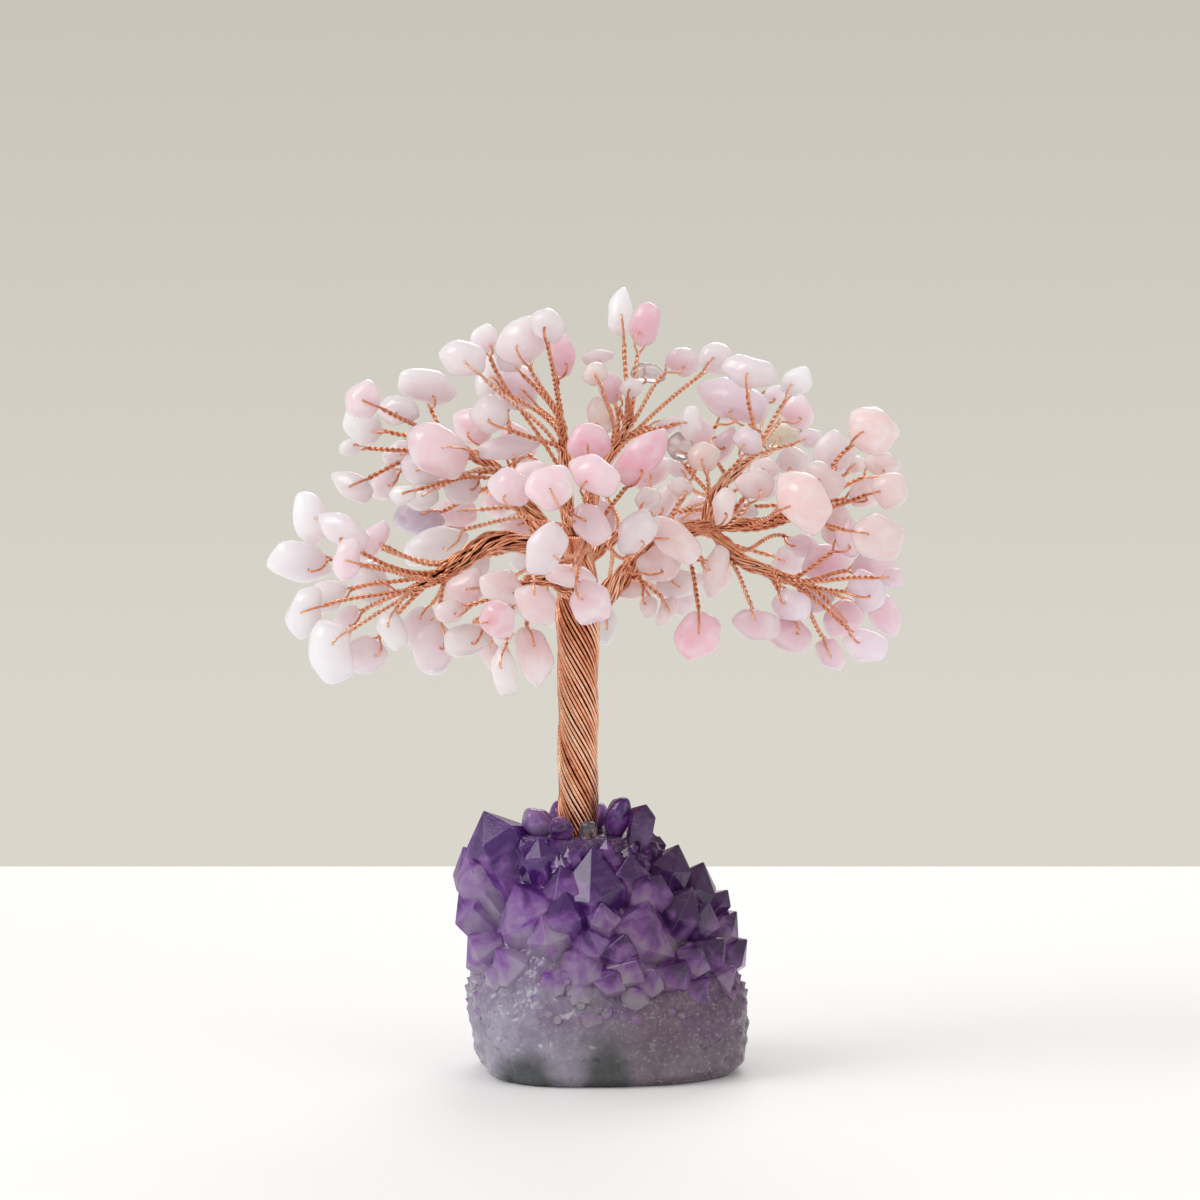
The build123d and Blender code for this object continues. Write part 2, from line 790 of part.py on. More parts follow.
def settle(chips, branches, routes):
    """Move chips along the line of sight until none are in each other's way.

    Chips stand for three balls in a row, twigs and bundles for rows of small ones. Two balls that
    cover each other in the picture have to be as far apart in depth as their thicknesses need.
    Balls on different branches also keep clear of the height that a branch gains when it is bent.
    """
    count = len(chips.seen)
    family = np.array([SIDE_BRANCHES.get(branch.name, branch.name) for branch in branches] + ["trunk"])
    places, chip_of, share, wide, deep = balls_of(chips, look_back(chip_roots(chips, branches, routes)))
    rope_places, rope_branch, rope_radii = rope_balls(branches, routes)
    branch_of = np.concatenate((chips.owner[chip_of], rope_branch))
    places = np.concatenate((places, rope_places))
    chip_of = np.concatenate((chip_of, np.full(len(rope_branch), count)))
    share = np.concatenate((share, np.zeros(len(rope_branch))))
    wide, deep = np.concatenate((wide, rope_radii)), np.concatenate((deep, rope_radii))
    own_travel = bend_travel(places, branch_of, branches, routes, False)
    whole_travel = bend_travel(places, branch_of, branches, routes, True)
    apart = branch_of[:, None] != branch_of[None, :]
    related = family[branch_of][:, None] == family[branch_of][None, :]
    rise = np.where(
        related,
        np.maximum(own_travel[:, None], own_travel[None, :]),
        np.maximum(whole_travel[:, None], whole_travel[None, :]),
    )
    level = places[:, None, 0] - places[None, :, 0]
    upright = np.abs(places[:, None, 1] - places[None, :, 1]) - apart * rise
    cover = np.hypot(level, np.maximum(upright, 0)) / (wide[:, None] + wide[None, :])
    need = (deep[:, None] + deep[None, :]) * np.sqrt(np.maximum(1 - cover**2, 0))
    twig, rope = (share > 0) & (share < 1), share == 0
    need[((twig[:, None] & rope[None, :]) | (rope[:, None] & twig[None, :])) & ~apart] = 0
    need[(chip_of[:, None] == chip_of[None, :]) | (rope[:, None] & rope[None, :])] = 0
    need[twig[:, None] & twig[None, :] & ~apart] = 0
    first, second = np.nonzero(need)
    movable = share[first] > 0
    first, second = first[movable], second[movable]
    limit = need[first, second]
    depth = np.zeros(count + 1)
    for _ in range(SETTLE_ROUNDS):
        now = places[:, 2] + share * depth[chip_of]
        offset = now[first] - now[second]
        away = np.where(offset == 0, np.sign(first - second), np.sign(offset))
        lack = np.maximum(limit - np.abs(offset), 0) * away
        pushed = np.bincount(chip_of[first], share[first] * lack, len(depth))
        depth += SETTLE_STEP * pushed / np.maximum(np.bincount(chip_of[first], lack != 0, len(depth)), 1)
    chips.seen[:, 2] += depth[:count]


def chip_roots(chips, branches, routes):
    """About where each chip's twig leaves its bundle."""
    roots = []
    for centre, number in zip(world(chips.seen), chips.owner):
        route = routes[branches[number].name]
        roots.append(root_at(route, root_station(route, centre), centre)[0])
    return np.array(roots)


class ChipTable:
    """All chips of the crown: their rows in the tables, their branches, sizes and places."""

    def __init__(self, branches):
        self.rows = [row for branch in branches for row in branch.chips_px]
        self.owner = np.repeat(np.arange(len(branches)), [len(branch.chips_px) for branch in branches])
        length, self.width, self.thickness = np.array([chip_sizes(row) for row in self.rows]).T
        tilt = np.radians([row[4] for row in self.rows])
        half = (length - self.width) / 2
        self.along = np.stack((half * np.cos(tilt), half * np.sin(tilt), 0 * half), axis=-1)
        places_px = []
        for index, (row, number) in enumerate(zip(self.rows, self.owner)):
            guess_px = branches[number].front_px + branches[number].spread_px * jitter(index, 0)
            places_px.append((*row[:2], row[5] if len(row) > 5 else guess_px))
        self.seen = sight(places_px)


def look_back(points):
    """Points of the object's frame as width, picture height and front distance."""
    wide, deep, height = points.T
    return np.stack((wide, height * np.cos(VIEW_TILT) + deep * np.sin(VIEW_TILT), -deep), axis=-1)


def skin(rings):
    """A solid of flat facets between rings of equal counts, closed by its first and last ring."""
    faces = [Face(Wire.make_polygon([Vector(*corner) for corner in ring])) for ring in (rings[0], rings[-1])]
    for near, far in zip(rings, rings[1:]):
        ahead_near, ahead_far = np.roll(near, -1, axis=0), np.roll(far, -1, axis=0)
        for corners in (*zip(near, ahead_near, ahead_far), *zip(near, ahead_far, far)):
            faces.append(Face(Wire.make_polygon([Vector(*corner) for corner in corners])))
    return Solid(Shell(faces))


def bundle(route):
    """A wire bundle as one tapering rod along its route."""
    rod = skin(route.rings(ROPE_SIDES))
    with BuildPart() as rope:
        add(rod)
    return rope.part


def drilled_chip(chip, hole):
    """A tumbled chip with a small hole along its bore axis."""
    with BuildPart() as stone:
        ConvexPolyhedron(chip.corners())
        with BuildSketch(Plane(Vector(*hole), z_dir=Vector(*chip.bore_axis))):
            RegularPolygon(BORE_RADIUS, 3)
        extrude(amount=chip.half_sizes[2] + CUT_OVERRUN, both=True, mode=Mode.SUBTRACT)
    return stone.part


def looped_wire(path):
    """A wire folded through its chip, as a thin rod with mitred corners."""
    rod = skin(Route(path, np.full(len(path), WIRE_RADIUS)).rings(WIRE_SIDES))
    with BuildPart() as wire:
        add(rod)
    return wire.part


def twisted_trunk(route):
    """The trunk as ridged sections, each turned on from the last by the lay of the wire."""
    ridges = np.arange(2 * STRAND_COUNT)
    rings = []
    for level in np.linspace(0, route.length, TRUNK_BANDS + 1):
        centre, _, radius = route.at(level)
        angles = np.pi * ridges / STRAND_COUNT - 2 * np.pi * level / LAY_PITCH
        radii = radius - STRAND_DEPTH * (ridges % 2)
        rings.append(centre + np.stack((radii * np.cos(angles), radii * np.sin(angles), 0 * radii), axis=-1))
    stem = skin(rings)
    with BuildPart() as trunk:
        add(stem)
    return trunk.part


def reach_at(shares, height_share):
    """A table's left, right, front and back reach at a share of the stone's height, in mm."""
    heights, *reaches = np.array(shares).T
    left, right, front, back = (np.interp(height_share, heights, reach) for reach in reaches)
    return left * STONE_WIDTH, right * STONE_WIDTH, front * STONE_DEPTH, back * STONE_DEPTH


def body_rings():
    """Uneven rings of the stone's massive part from its flat foot to the ledge round the trunk."""
    points = []
    for level, height_share in enumerate(np.array(BODY_SHARES)[:, 0]):
        left, right, front, back = reach_at(BODY_SHARES, height_share)
        for side in range(STONE_SIDES):
            angle = 2 * np.pi * (side + jitter(side + 5 * level, 1) / 4) / STONE_SIDES
            wide, deep = np.cos(angle), np.sin(angle)
            wide = np.sign(wide) * abs(wide) ** SQUARE_SHARE
            deep = np.sign(deep) * abs(deep) ** SQUARE_SHARE
            reach = (right if wide > 0 else -left) * wide
            points.append((reach, (back if deep > 0 else front) * deep, height_share * STONE_HEIGHT))
    return points


def crystal_places():
    """Apex and radius of each point: those in the photograph, and the large ones again at the back."""
    pixel_wide = STONE_WIDTH / (STONE_RIGHT_PX - STONE_LEFT_PX)
    pixel_high = STONE_HEIGHT / (GROUND_ROW_PX - STONE_TOP_PX)
    places = []
    for column, row, width in CRYSTALS_PX:
        wide = (column - TRUNK_COLUMN_PX) * pixel_wide
        high = (GROUND_ROW_PX - row) * pixel_high
        radius = CRYSTAL_SWELL_SHARE * width / 2 * pixel_wide
        deep = 0
        for _ in range(3):
            height = (high - deep * np.sin(VIEW_TILT)) / np.cos(VIEW_TILT)
            left, right, front, back = reach_at(CROWN_SHARES, height / STONE_HEIGHT)
            middle, half = (left + right) / 2, (right - left) / 2
            room = np.sqrt(max(1 - ((wide - middle) / half) ** 2, 0))
            deep = -front * room
        places.append((np.array((wide, deep, height)), radius))
        if room > BACK_ROOM_SHARE and radius > BACK_CRYSTAL_RADIUS:
            mirrored = np.array((2 * middle - wide, -deep * back / front, height))
            places.append((mirrored, radius))
    return places


def crystal_corners(apex, radius, index):
    """A six-sided prism sunk in the stone, with a pyramid whose shoulders lie at uneven heights."""
    focus = np.array((STONE_WIDTH * FOCUS_SHARES[0], 0, STONE_HEIGHT * FOCUS_SHARES[1]))
    axis = unit(apex - focus)
    ring = circle_points(axis, np.pi * (np.arange(6) + jitter(index, 2)) / 3)
    foot = apex - SINK_SHARE * np.linalg.norm(apex - focus) * axis
    drops = TIP_SHARE + SHOULDER_SHARE * np.array([jitter(index + 3 * side, 5) for side in range(6)])
    shoulder = apex - radius * drops[:, None] * axis
    lean = SHOULDER_SHARE * radius * (jitter(index, 7) * ring[0] + jitter(index, 8) * ring[2])
    return np.concatenate((foot + radius * ring, shoulder + radius * ring, [apex + lean]))


os.makedirs("parts", exist_ok=True)

with BuildPart() as amethyst_cluster:
    ConvexPolyhedron(body_rings())
    for index, (apex, radius) in enumerate(crystal_places()):
        ConvexPolyhedron(crystal_corners(apex, radius, index))
    with BuildSketch(Plane.XY.offset(STONE_HEIGHT - SOCKET_DEPTH)):
        RegularPolygon(SOCKET_RADIUS, SOCKET_SIDES)
    extrude(amount=STONE_HEIGHT, mode=Mode.SUBTRACT)
amethyst_cluster.part.label = "amethyst_cluster"
export_step(amethyst_cluster.part, "parts/amethyst_cluster.step")

with BuildPart() as socket_glue:
    with BuildSketch(Plane.XY.offset(STONE_HEIGHT - SOCKET_DEPTH)):
        RegularPolygon(SOCKET_RADIUS, SOCKET_SIDES)
        RegularPolygon(TRUNK_RADIUS + GLUE_GAP, SOCKET_SIDES, major_radius=False, mode=Mode.SUBTRACT)
    extrude(amount=SOCKET_DEPTH)
socket_glue.part.label = "socket_glue"
export_step(socket_glue.part, "parts/socket_glue.step")

with BuildPart() as foot_chips:
    for index, (azimuth, radius_share, height_share) in enumerate(FOOT_CHIP_SHARES):
        radius = FOOT_CHIP_RADIUS * radius_share
        outward = np.array((np.cos(np.radians(azimuth)), np.sin(np.radians(azimuth)), 0))
        rise = FOOT_CHIP_HEIGHT * height_share * (FOOT_CHIP_LEAN_SHARE * outward + (0, 0, 1))
        centre = (SOCKET_RADIUS + radius) * outward + (0, 0, STONE_HEIGHT)
        angles = 2 * np.pi * (np.arange(6) + jitter(index, 1)) / 6
        flat = np.stack((np.cos(angles), np.sin(angles), np.zeros(6)), axis=-1)
        rings = []
        for level, scale in ((0, CAP_SHARE), (FOOT_CHIP_WAIST_SHARE, 1), (1, CAP_SHARE)):
            rings.append(centre + level * rise + scale * radius * flat)
        ConvexPolyhedron(np.concatenate(rings))
foot_chips.part.label = "foot_chips"
export_step(foot_chips.part, "parts/foot_chips.step")

routes = {"trunk": trunk_route()}
for branch in BRANCHES:
    routes[branch.name] = branch_route(branch, routes[branch.parent])

trunk = twisted_trunk(routes["trunk"])
trunk.label = "trunk"
export_step(trunk, "parts/trunk.step")

crown = ChipTable(BRANCHES)
for _ in range(SETTLE_PASSES):
    settle(crown, BRANCHES, routes)
centres = world(crown.seen)
for number, branch in enumerate(BRANCHES):
    mine = np.flatnonzero(crown.owner == number)
    chips = [make_chip(centres[index], crown.rows[index], index) for index in mine]
    route = routes[branch.name]
    if branch.name == PENDANT_BRANCH:
        hanging = from_photo(((*PENDANT_PX[:2], PENDANT_FRONT_PX),))[0]
        pendant = make_chip(hanging, PENDANT_PX, len(crown.rows), turn=0, inward=np.array((0.0, 0, 1)))
        chips.append(pendant)
    paths = [loop_points(chip, *root) for chip, root in zip(chips, place_roots(route, chips))]
    holes = [(path[2] + path[3]) / 2 for path in paths]
    if branch.name == PENDANT_BRANCH:
        chips.pop()
        pendant_hole = holes.pop()
    pieces = {
        "branch": bundle(route),
        "chips": Compound([drilled_chip(chip, hole).solid() for chip, hole in zip(chips, holes)]),
        "wires": Compound([looped_wire(path).solid() for path in paths]),
    }
    for kind, piece in pieces.items():
        piece.label = f"{branch.name}_{kind}"
        export_step(piece, f"parts/{branch.name}_{kind}.step")

pendant_chip = drilled_chip(pendant, pendant_hole)
pendant_chip.label = "pendant_chip"
export_step(pendant_chip, "parts/pendant_chip.step")
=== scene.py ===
"""Looks of a gemstone tree: twisted copper wire, drilled quartz chips and an amethyst cluster.

Sizes in the classes are millimetres. Meshes are metres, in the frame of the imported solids.
"""

import json
import logging
from dataclasses import dataclass, field
from enum import Enum

import bpy
import numpy as np
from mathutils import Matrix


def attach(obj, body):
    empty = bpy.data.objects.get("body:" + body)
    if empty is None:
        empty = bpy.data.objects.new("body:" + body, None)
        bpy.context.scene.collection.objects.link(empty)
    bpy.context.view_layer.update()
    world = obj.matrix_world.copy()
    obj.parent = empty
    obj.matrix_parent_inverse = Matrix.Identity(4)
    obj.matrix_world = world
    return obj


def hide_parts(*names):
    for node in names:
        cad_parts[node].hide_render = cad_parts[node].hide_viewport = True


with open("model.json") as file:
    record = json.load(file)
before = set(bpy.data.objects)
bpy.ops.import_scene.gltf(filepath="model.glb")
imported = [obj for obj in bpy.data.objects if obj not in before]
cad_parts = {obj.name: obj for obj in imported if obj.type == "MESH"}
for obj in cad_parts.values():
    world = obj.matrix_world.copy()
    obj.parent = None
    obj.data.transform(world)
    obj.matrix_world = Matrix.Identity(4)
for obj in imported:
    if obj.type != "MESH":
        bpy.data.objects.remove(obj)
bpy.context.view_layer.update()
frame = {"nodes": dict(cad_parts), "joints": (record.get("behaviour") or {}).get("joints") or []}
LOG = logging.getLogger("gemstone_tree")

MM = 0.001
ROOT_BODY = "stone_and_trunk"
VIEW_TILT = np.radians(8)
PIXEL = 0.2 * MM
TRUNK_COLUMN_PX = 578
GROUND_ROW_PX = 1071
IMAGE_PX = 1200


class Branch(Enum):
    """The wire bundles, with the bodies that they ride on."""

    LEFT_LOW = "left_low"
    LEFT_HIGH = "left_high"
    TOP_LEFT = "top_left"
    TOP = "top"
    RIGHT = "right"
    RIGHT_HIGH = "right_high"
    RIGHT_LOW = "right_low"
    FRONT = "front"
    FRONT_LEFT = "front_left"
    BACK_LEFT = "back_left"
    BACK_RIGHT = "back_right"

    @property
    def body(self) -> str:
        """The body that carries the bundle: the two leaders stand on the trunk itself."""
        return ROOT_BODY if self in (Branch.TOP_LEFT, Branch.TOP) else self.value


class Tint(Enum):
    """Colours of tumbled rose quartz, from milky white to dusky mauve; the last two are the clearest."""

    WHITE = "#fff2f4"
    PALE = "#ffe4e7"
    PINK = "#ffd3d8"
    DEEP = "#ffc0ca"
    PEACH = "#ffd4c8"
    DUSKY = "#f8d0d4"
    LAVENDER = "#f8dee6"
    SMOKY = "#c6bdca"
    CREAM = "#f9e8d0"
    CLEAR = "#fbf0f0"


CLEAR_TINTS = (Tint.CLEAR, Tint.CREAM)
TINT_SHARES = {
    Branch.LEFT_LOW: {Tint.WHITE: 5, Tint.PALE: 4, Tint.PINK: 2},
    Branch.LEFT_HIGH: {Tint.WHITE: 3, Tint.PALE: 5, Tint.PINK: 3},
    Branch.TOP_LEFT: {Tint.WHITE: 3, Tint.PALE: 5, Tint.LAVENDER: 2, Tint.PINK: 1},
    Branch.TOP: {Tint.PALE: 4, Tint.PINK: 4, Tint.PEACH: 1},
    Branch.RIGHT: {Tint.PINK: 5, Tint.DUSKY: 4, Tint.LAVENDER: 3, Tint.PALE: 1},
    Branch.RIGHT_HIGH: {Tint.LAVENDER: 4, Tint.PINK: 4, Tint.PALE: 2},
    Branch.RIGHT_LOW: {Tint.DUSKY: 3, Tint.PINK: 4, Tint.LAVENDER: 4},
    Branch.FRONT: {Tint.PINK: 6, Tint.PALE: 2, Tint.DEEP: 1},
    Branch.FRONT_LEFT: {Tint.PINK: 5, Tint.PEACH: 2, Tint.PALE: 2},
    Branch.BACK_LEFT: {Tint.PALE: 4, Tint.PINK: 4, Tint.WHITE: 2},
    Branch.BACK_RIGHT: {Tint.PINK: 4, Tint.LAVENDER: 3, Tint.PALE: 3},
}
TINTS_PX = {
    (416, 518): Tint.SMOKY,
    (784, 435): Tint.CREAM,
    (703, 457): Tint.PEACH,
    (620, 311): Tint.WHITE,
    (645, 327): Tint.DEEP,
    (562, 356): Tint.DEEP,
    (611, 390): Tint.DEEP,
    (595, 374): Tint.PEACH,
    (796, 382): Tint.WHITE,
    (735, 401): Tint.LAVENDER,
    (802, 502): Tint.DUSKY,
    (505, 638): Tint.WHITE,
    (363, 400): Tint.PINK,
    (680, 448): Tint.CLEAR,
    (648, 372): Tint.CLEAR,
    (311, 518): Tint.WHITE,
    (300, 562): Tint.WHITE,
    (306, 612): Tint.WHITE,
    (333, 650): Tint.WHITE,
    (499, 620): Tint.DEEP,
    (602, 628): Tint.WHITE,
}


SNUG = {Branch.TOP: {"swell": 1.08, "plump": 0.98}, Branch.RIGHT_HIGH: {"swell": 1.08, "plump": 0.98}}


def linear(hex_colour: str) -> tuple[float, float, float, float]:
    """An sRGB hex colour as linear red, green, blue and an alpha of one.

    Args:
        hex_colour: colour such as "#c9744d".

    Returns:
        Four linear channels.
    """
    channels = np.array([int(hex_colour[place:place + 2], 16) for place in (1, 3, 5)]) / 255
    low, high = channels / 12.92, ((channels + 0.055) / 1.055) ** 2.4
    return (*np.where(channels <= 0.04045, low, high).tolist(), 1.0)


def unit(vectors: np.ndarray) -> np.ndarray:
    """Vectors at length one.

    Args:
        vectors: array whose last axis holds the coordinates.

    Returns:
        Array of the same shape.
    """
    return vectors / np.maximum(np.linalg.norm(vectors, axis=-1, keepdims=True), 1e-12)


def photo_place(points: np.ndarray) -> np.ndarray:
    """Column and row of points in the photograph's frame.

    Args:
        points: array (n, 3) in metres.

    Returns:
        Array (n, 2) in pixels.
    """
    high = points[:, 2] * np.cos(VIEW_TILT) + points[:, 1] * np.sin(VIEW_TILT)
    return np.stack((TRUNK_COLUMN_PX + points[:, 0] / PIXEL, GROUND_ROW_PX - high / PIXEL), axis=-1)


def jitter(number: np.ndarray, salt: int) -> np.ndarray:
    """Values from -1 to 1 that differ from one number to the next, the same as in the solids.

    Args:
        number: array of whole numbers.
        salt: number of the series.

    Returns:
        Array of the same shape.
    """
    return 2 * ((number * (np.sqrt(5) - 1) / 2 + salt * (np.sqrt(2) - 1)) % 1) - 1


def waves(points: np.ndarray, size: float, seed: int, count: int = 24) -> np.ndarray:
    """Smooth noise: the sum of plane sine waves of about one wavelength in random directions.

    Args:
        points: array (..., 3).
        size: mean wavelength in the unit of the points.
        seed: number that fixes the directions and phases.
        count: number of waves.

    Returns:
        Array without the last axis, mostly between -1 and 1.
    """
    rng = np.random.default_rng(seed)
    ways = unit(rng.normal(size=(count, 3))) * 2 * np.pi / (size * rng.uniform(0.7, 1.4, (count, 1)))
    return np.sin(points @ ways.T + rng.uniform(0, 2 * np.pi, count)).sum(axis=-1) / np.sqrt(count)


def spline_weights(controls: int, samples: int) -> np.ndarray:
    """Weights of a Catmull-Rom spline through control points, with doubled end points.

    Args:
        controls: number of control points.
        samples: number of points along the spline.

    Returns:
        Array (samples, controls) that is multiplied with the control points.
    """
    place = np.linspace(0, controls - 1, samples)
    span = np.minimum(place.astype(int), controls - 2)
    t = (place - span)[:, None]
    basis = np.concatenate((-t + 2 * t**2 - t**3, 2 - 5 * t**2 + 3 * t**3, t + 4 * t**2 - 3 * t**3, t**3 - t**2), 1) / 2
    weights = np.zeros((samples, controls))
    for offset in range(4):
        np.add.at(weights, (np.arange(samples), np.clip(span + offset - 1, 0, controls - 1)), basis[:, offset])
    return weights


def transported(tangents: np.ndarray, start: np.ndarray) -> np.ndarray:
    """Normals carried along paths without spin: each is the last one, less its part along the tangent.

    Args:
        tangents: array (n, m, 3) of unit vectors.
        start: array (n, 3) of directions near the first normals.

    Returns:
        Array (n, m, 3) of unit normals.
    """
    normals = np.empty_like(tangents)
    normal = start
    for step in range(tangents.shape[1]):
        along = tangents[:, step]
        normal = unit(normal - np.sum(normal * along, axis=1, keepdims=True) * along)
        normals[:, step] = normal
    return normals


def side_of(tangents: np.ndarray) -> np.ndarray:
    """A direction square to each path's first tangent.

    Args:
        tangents: array (n, m, 3) of unit vectors.

    Returns:
        Array (n, 3) of unit vectors.
    """
    first = tangents[:, 0]
    helper = np.where(np.abs(first[:, 2:]) < 0.9, (0.0, 0.0, 1.0), (1.0, 0.0, 0.0))
    return unit(np.cross(first, helper))


@dataclass
class Surface:
    """Points and faces of a mesh, with values at its points."""

    points: np.ndarray
    faces: list
    values: dict = field(default_factory=dict)

    @staticmethod
    def joined(parts: list["Surface"]) -> "Surface":
        """Several surfaces as one.

        Args:
            parts: surfaces that have the same values.

        Returns:
            One surface of separate shells.
        """
        starts = np.cumsum([0] + [len(part.points) for part in parts])
        faces = [block + start for part, start in zip(parts, starts) for block in part.faces]
        values = {key: np.concatenate([part.values[key] for part in parts]) for key in parts[0].values}
        return Surface(np.concatenate([part.points for part in parts]), faces, values)


def tubes(paths: np.ndarray, radius: float, sides: int, tones: np.ndarray) -> Surface:
    """Round wires: a circle carried along each path on a frame without spin, with flat closed ends.

    Args:
        paths: array (n, m, 3) of centre-lines in metres.
        radius: wire radius in metres, or an array (n, m).
        sides: corners of the circle.
        tones: array (n) of a shade for each wire.

    Returns:
        Surface with a value "tone".
    """
    count, steps, _ = paths.shape
    tangents = unit(np.gradient(paths, axis=1))
    normals = transported(tangents, side_of(tangents))
    angles = 2 * np.pi * np.arange(sides) / sides
    ring = np.cos(angles)[:, None] * normals[:, :, None] + np.sin(angles)[:, None] * np.cross(tangents, normals)[:, :, None]
    points = paths[:, :, None] + np.broadcast_to(radius, (count, steps))[:, :, None, None] * ring
    index = np.arange(count * steps * sides).reshape(count, steps, sides)
    ahead = np.roll(index, -1, axis=2)
    walls = np.stack((index[:, :-1], ahead[:, :-1], ahead[:, 1:], index[:, 1:]), axis=-1).reshape(-1, 4)
    faces = [walls, index[:, 0, ::-1], index[:, -1]]
    return Surface(points.reshape(-1, 3), faces, {"tone": np.repeat(tones, steps * sides)})


def ball_grid(rings: int, columns: int) -> tuple[np.ndarray, list]:
    """Directions of a globe with poles at the ends of its first axis, and its faces.

    Args:
        rings: circles between the poles.
        columns: points of each circle.

    Returns:
        Array (rings * columns + 2, 3) of unit vectors, and blocks of faces.
    """
    polar = np.pi * (np.arange(rings) + 1)[:, None] / (rings + 1)
    around = 2 * np.pi * np.arange(columns)[None, :] / columns
    circle = np.stack((np.cos(polar) + 0 * around, np.sin(polar) * np.cos(around), np.sin(polar) * np.sin(around)), -1)
    points = np.concatenate((circle.reshape(-1, 3), [(1, 0, 0), (-1, 0, 0)]))
    index = np.arange(rings * columns).reshape(rings, columns)
    ahead = np.roll(index, -1, axis=1)
    walls = np.stack((index[:-1], index[1:], ahead[1:], ahead[:-1]), axis=-1).reshape(-1, 4)
    north = np.stack((np.full(columns, rings * columns), index[0], ahead[0]), axis=-1)
    south = np.stack((np.full(columns, rings * columns + 1), ahead[-1], index[-1]), axis=-1)
    return points, [walls, north, south]


def node_solids(node: str) -> list[tuple[np.ndarray, np.ndarray]]:
    """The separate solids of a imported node.

    Args:
        node: name of the node.

    Returns:
        For each solid, its merged points in metres and its triangles.
    """
    mesh = frame["nodes"][node].data
    places = np.empty(len(mesh.vertices) * 3)
    mesh.vertices.foreach_get("co", places)
    corners = np.empty(len(mesh.loops), int)
    mesh.loops.foreach_get("vertex_index", corners)
    points, inverse = np.unique(np.round(places.reshape(-1, 3), 7), axis=0, return_inverse=True)
    triangles = inverse.reshape(-1)[corners].reshape(-1, 3)
    labels, spread = None, np.arange(len(points))
    while labels is None or (spread != labels).any():
        labels = spread.copy()
        np.minimum.at(spread, triangles.ravel(), np.repeat(labels[triangles].min(axis=1), 3))
    solids = []
    for label in np.unique(labels):
        inside = np.flatnonzero(labels == label)
        solids.append((points[inside], np.searchsorted(inside, triangles[labels[triangles[:, 0]] == label])))
    return solids


def ring_chain(points: np.ndarray, triangles: np.ndarray, sides: int, start: np.ndarray | None = None) -> np.ndarray:
    """Rings of a faceted rod in order: each next ring is what the triangles of the last ones also touch.

    Args:
        points: merged points of the rod.
        triangles: its triangles.
        sides: corners of a ring.
        start: a place near its first end; without one, the end is the triangle from which all rings are even.

    Returns:
        Array (rings, sides, 3).
    """
    linked = np.zeros((len(points), len(points)), bool)
    linked[triangles, np.roll(triangles, 1, axis=1)] = True
    linked |= linked.T
    firsts = triangles if start is None else [np.argsort(np.linalg.norm(points - start, axis=1))[:sides]]
    for first in firsts:
        reached = np.isin(np.arange(len(points)), first)
        rings = [points[first]]
        while not reached.all() and len(rings[-1]) == sides:
            ahead = linked[reached].any(axis=0) & ~reached
            rings.append(points[ahead])
            reached |= ahead
        if len(rings[-1]) == sides:
            return np.stack(rings)
    raise ValueError("no even rings")


def add_node(tree: bpy.types.NodeTree, kind: str, inputs: dict | None = None, **settings: object) -> bpy.types.Node:
    """Adds a shader node, sets its properties and fills or links its inputs.

    Args:
        tree: node tree of a material or world.
        kind: Blender's type name of the node.
        inputs: input name or number, to a value or to the socket that feeds it.
        settings: properties of the node.

    Returns:
        The new node.
    """
    node = tree.nodes.new(kind)
    for name, value in settings.items():
        setattr(node, name, value)
    for key, value in (inputs or {}).items():
        if isinstance(value, bpy.types.NodeSocket):
            tree.links.new(value, node.inputs[key])
        else:
            node.inputs[key].default_value = value
    return node


def ramp(tree: bpy.types.NodeTree, factor: bpy.types.NodeSocket, stops: tuple) -> bpy.types.NodeSocket:
    """A colour ramp over hex colours.

    Args:
        tree: node tree of a material.
        factor: socket that runs from 0 to 1.
        stops: pairs of place and hex colour.

    Returns:
        The colour socket.
    """
    node = add_node(tree, "ShaderNodeValToRGB", {"Fac": factor})
    while len(node.color_ramp.elements) < len(stops):
        node.color_ramp.elements.new(0.5)
    for element, (place, colour) in zip(node.color_ramp.elements, stops):
        element.position = place
        element.color = linear(colour)
    return node.outputs["Color"]


def zoned(
    tree: bpy.types.NodeTree, place: bpy.types.NodeSocket, scale: float, spread: float, left: tuple, right: tuple
) -> bpy.types.NodeSocket:
    """Colours of the amethyst: two runs over the zone value, broken by clouds and mixed by the flank value.

    Args:
        tree: node tree of a material.
        place: coordinates of the clouds.
        scale: scale of the clouds.
        spread: how far a cloud shifts the zone.
        left: run of the pale flank, as pairs of place and hex colour.
        right: run of the plum flank, also darker than the left one as painted shade on the side away from the key
            light.

    Returns:
        The colour socket.
    """
    zone = add_node(tree, "ShaderNodeAttribute", attribute_name="zone")
    flank = add_node(tree, "ShaderNodeAttribute", attribute_name="flank")
    cloud = add_node(tree, "ShaderNodeTexNoise", {"Vector": place, "Scale": scale, "Detail": 6.0, "Distortion": 0.8})
    shift = add_node(
        tree,
        "ShaderNodeMapRange",
        {"Value": cloud.outputs["Fac"], "From Min": 0.3, "From Max": 0.7, "To Min": -spread, "To Max": spread},
    )
    level = add_node(
        tree, "ShaderNodeMath", {0: zone.outputs["Fac"], 1: shift.outputs["Result"]}, operation="ADD", use_clamp=True
    )
    sides = [ramp(tree, level.outputs[0], stops) for stops in (left, right)]
    mixed = add_node(tree, "ShaderNodeMix", {0: flank.outputs["Fac"], 6: sides[0], 7: sides[1]}, data_type="RGBA")
    return mixed.outputs[2]


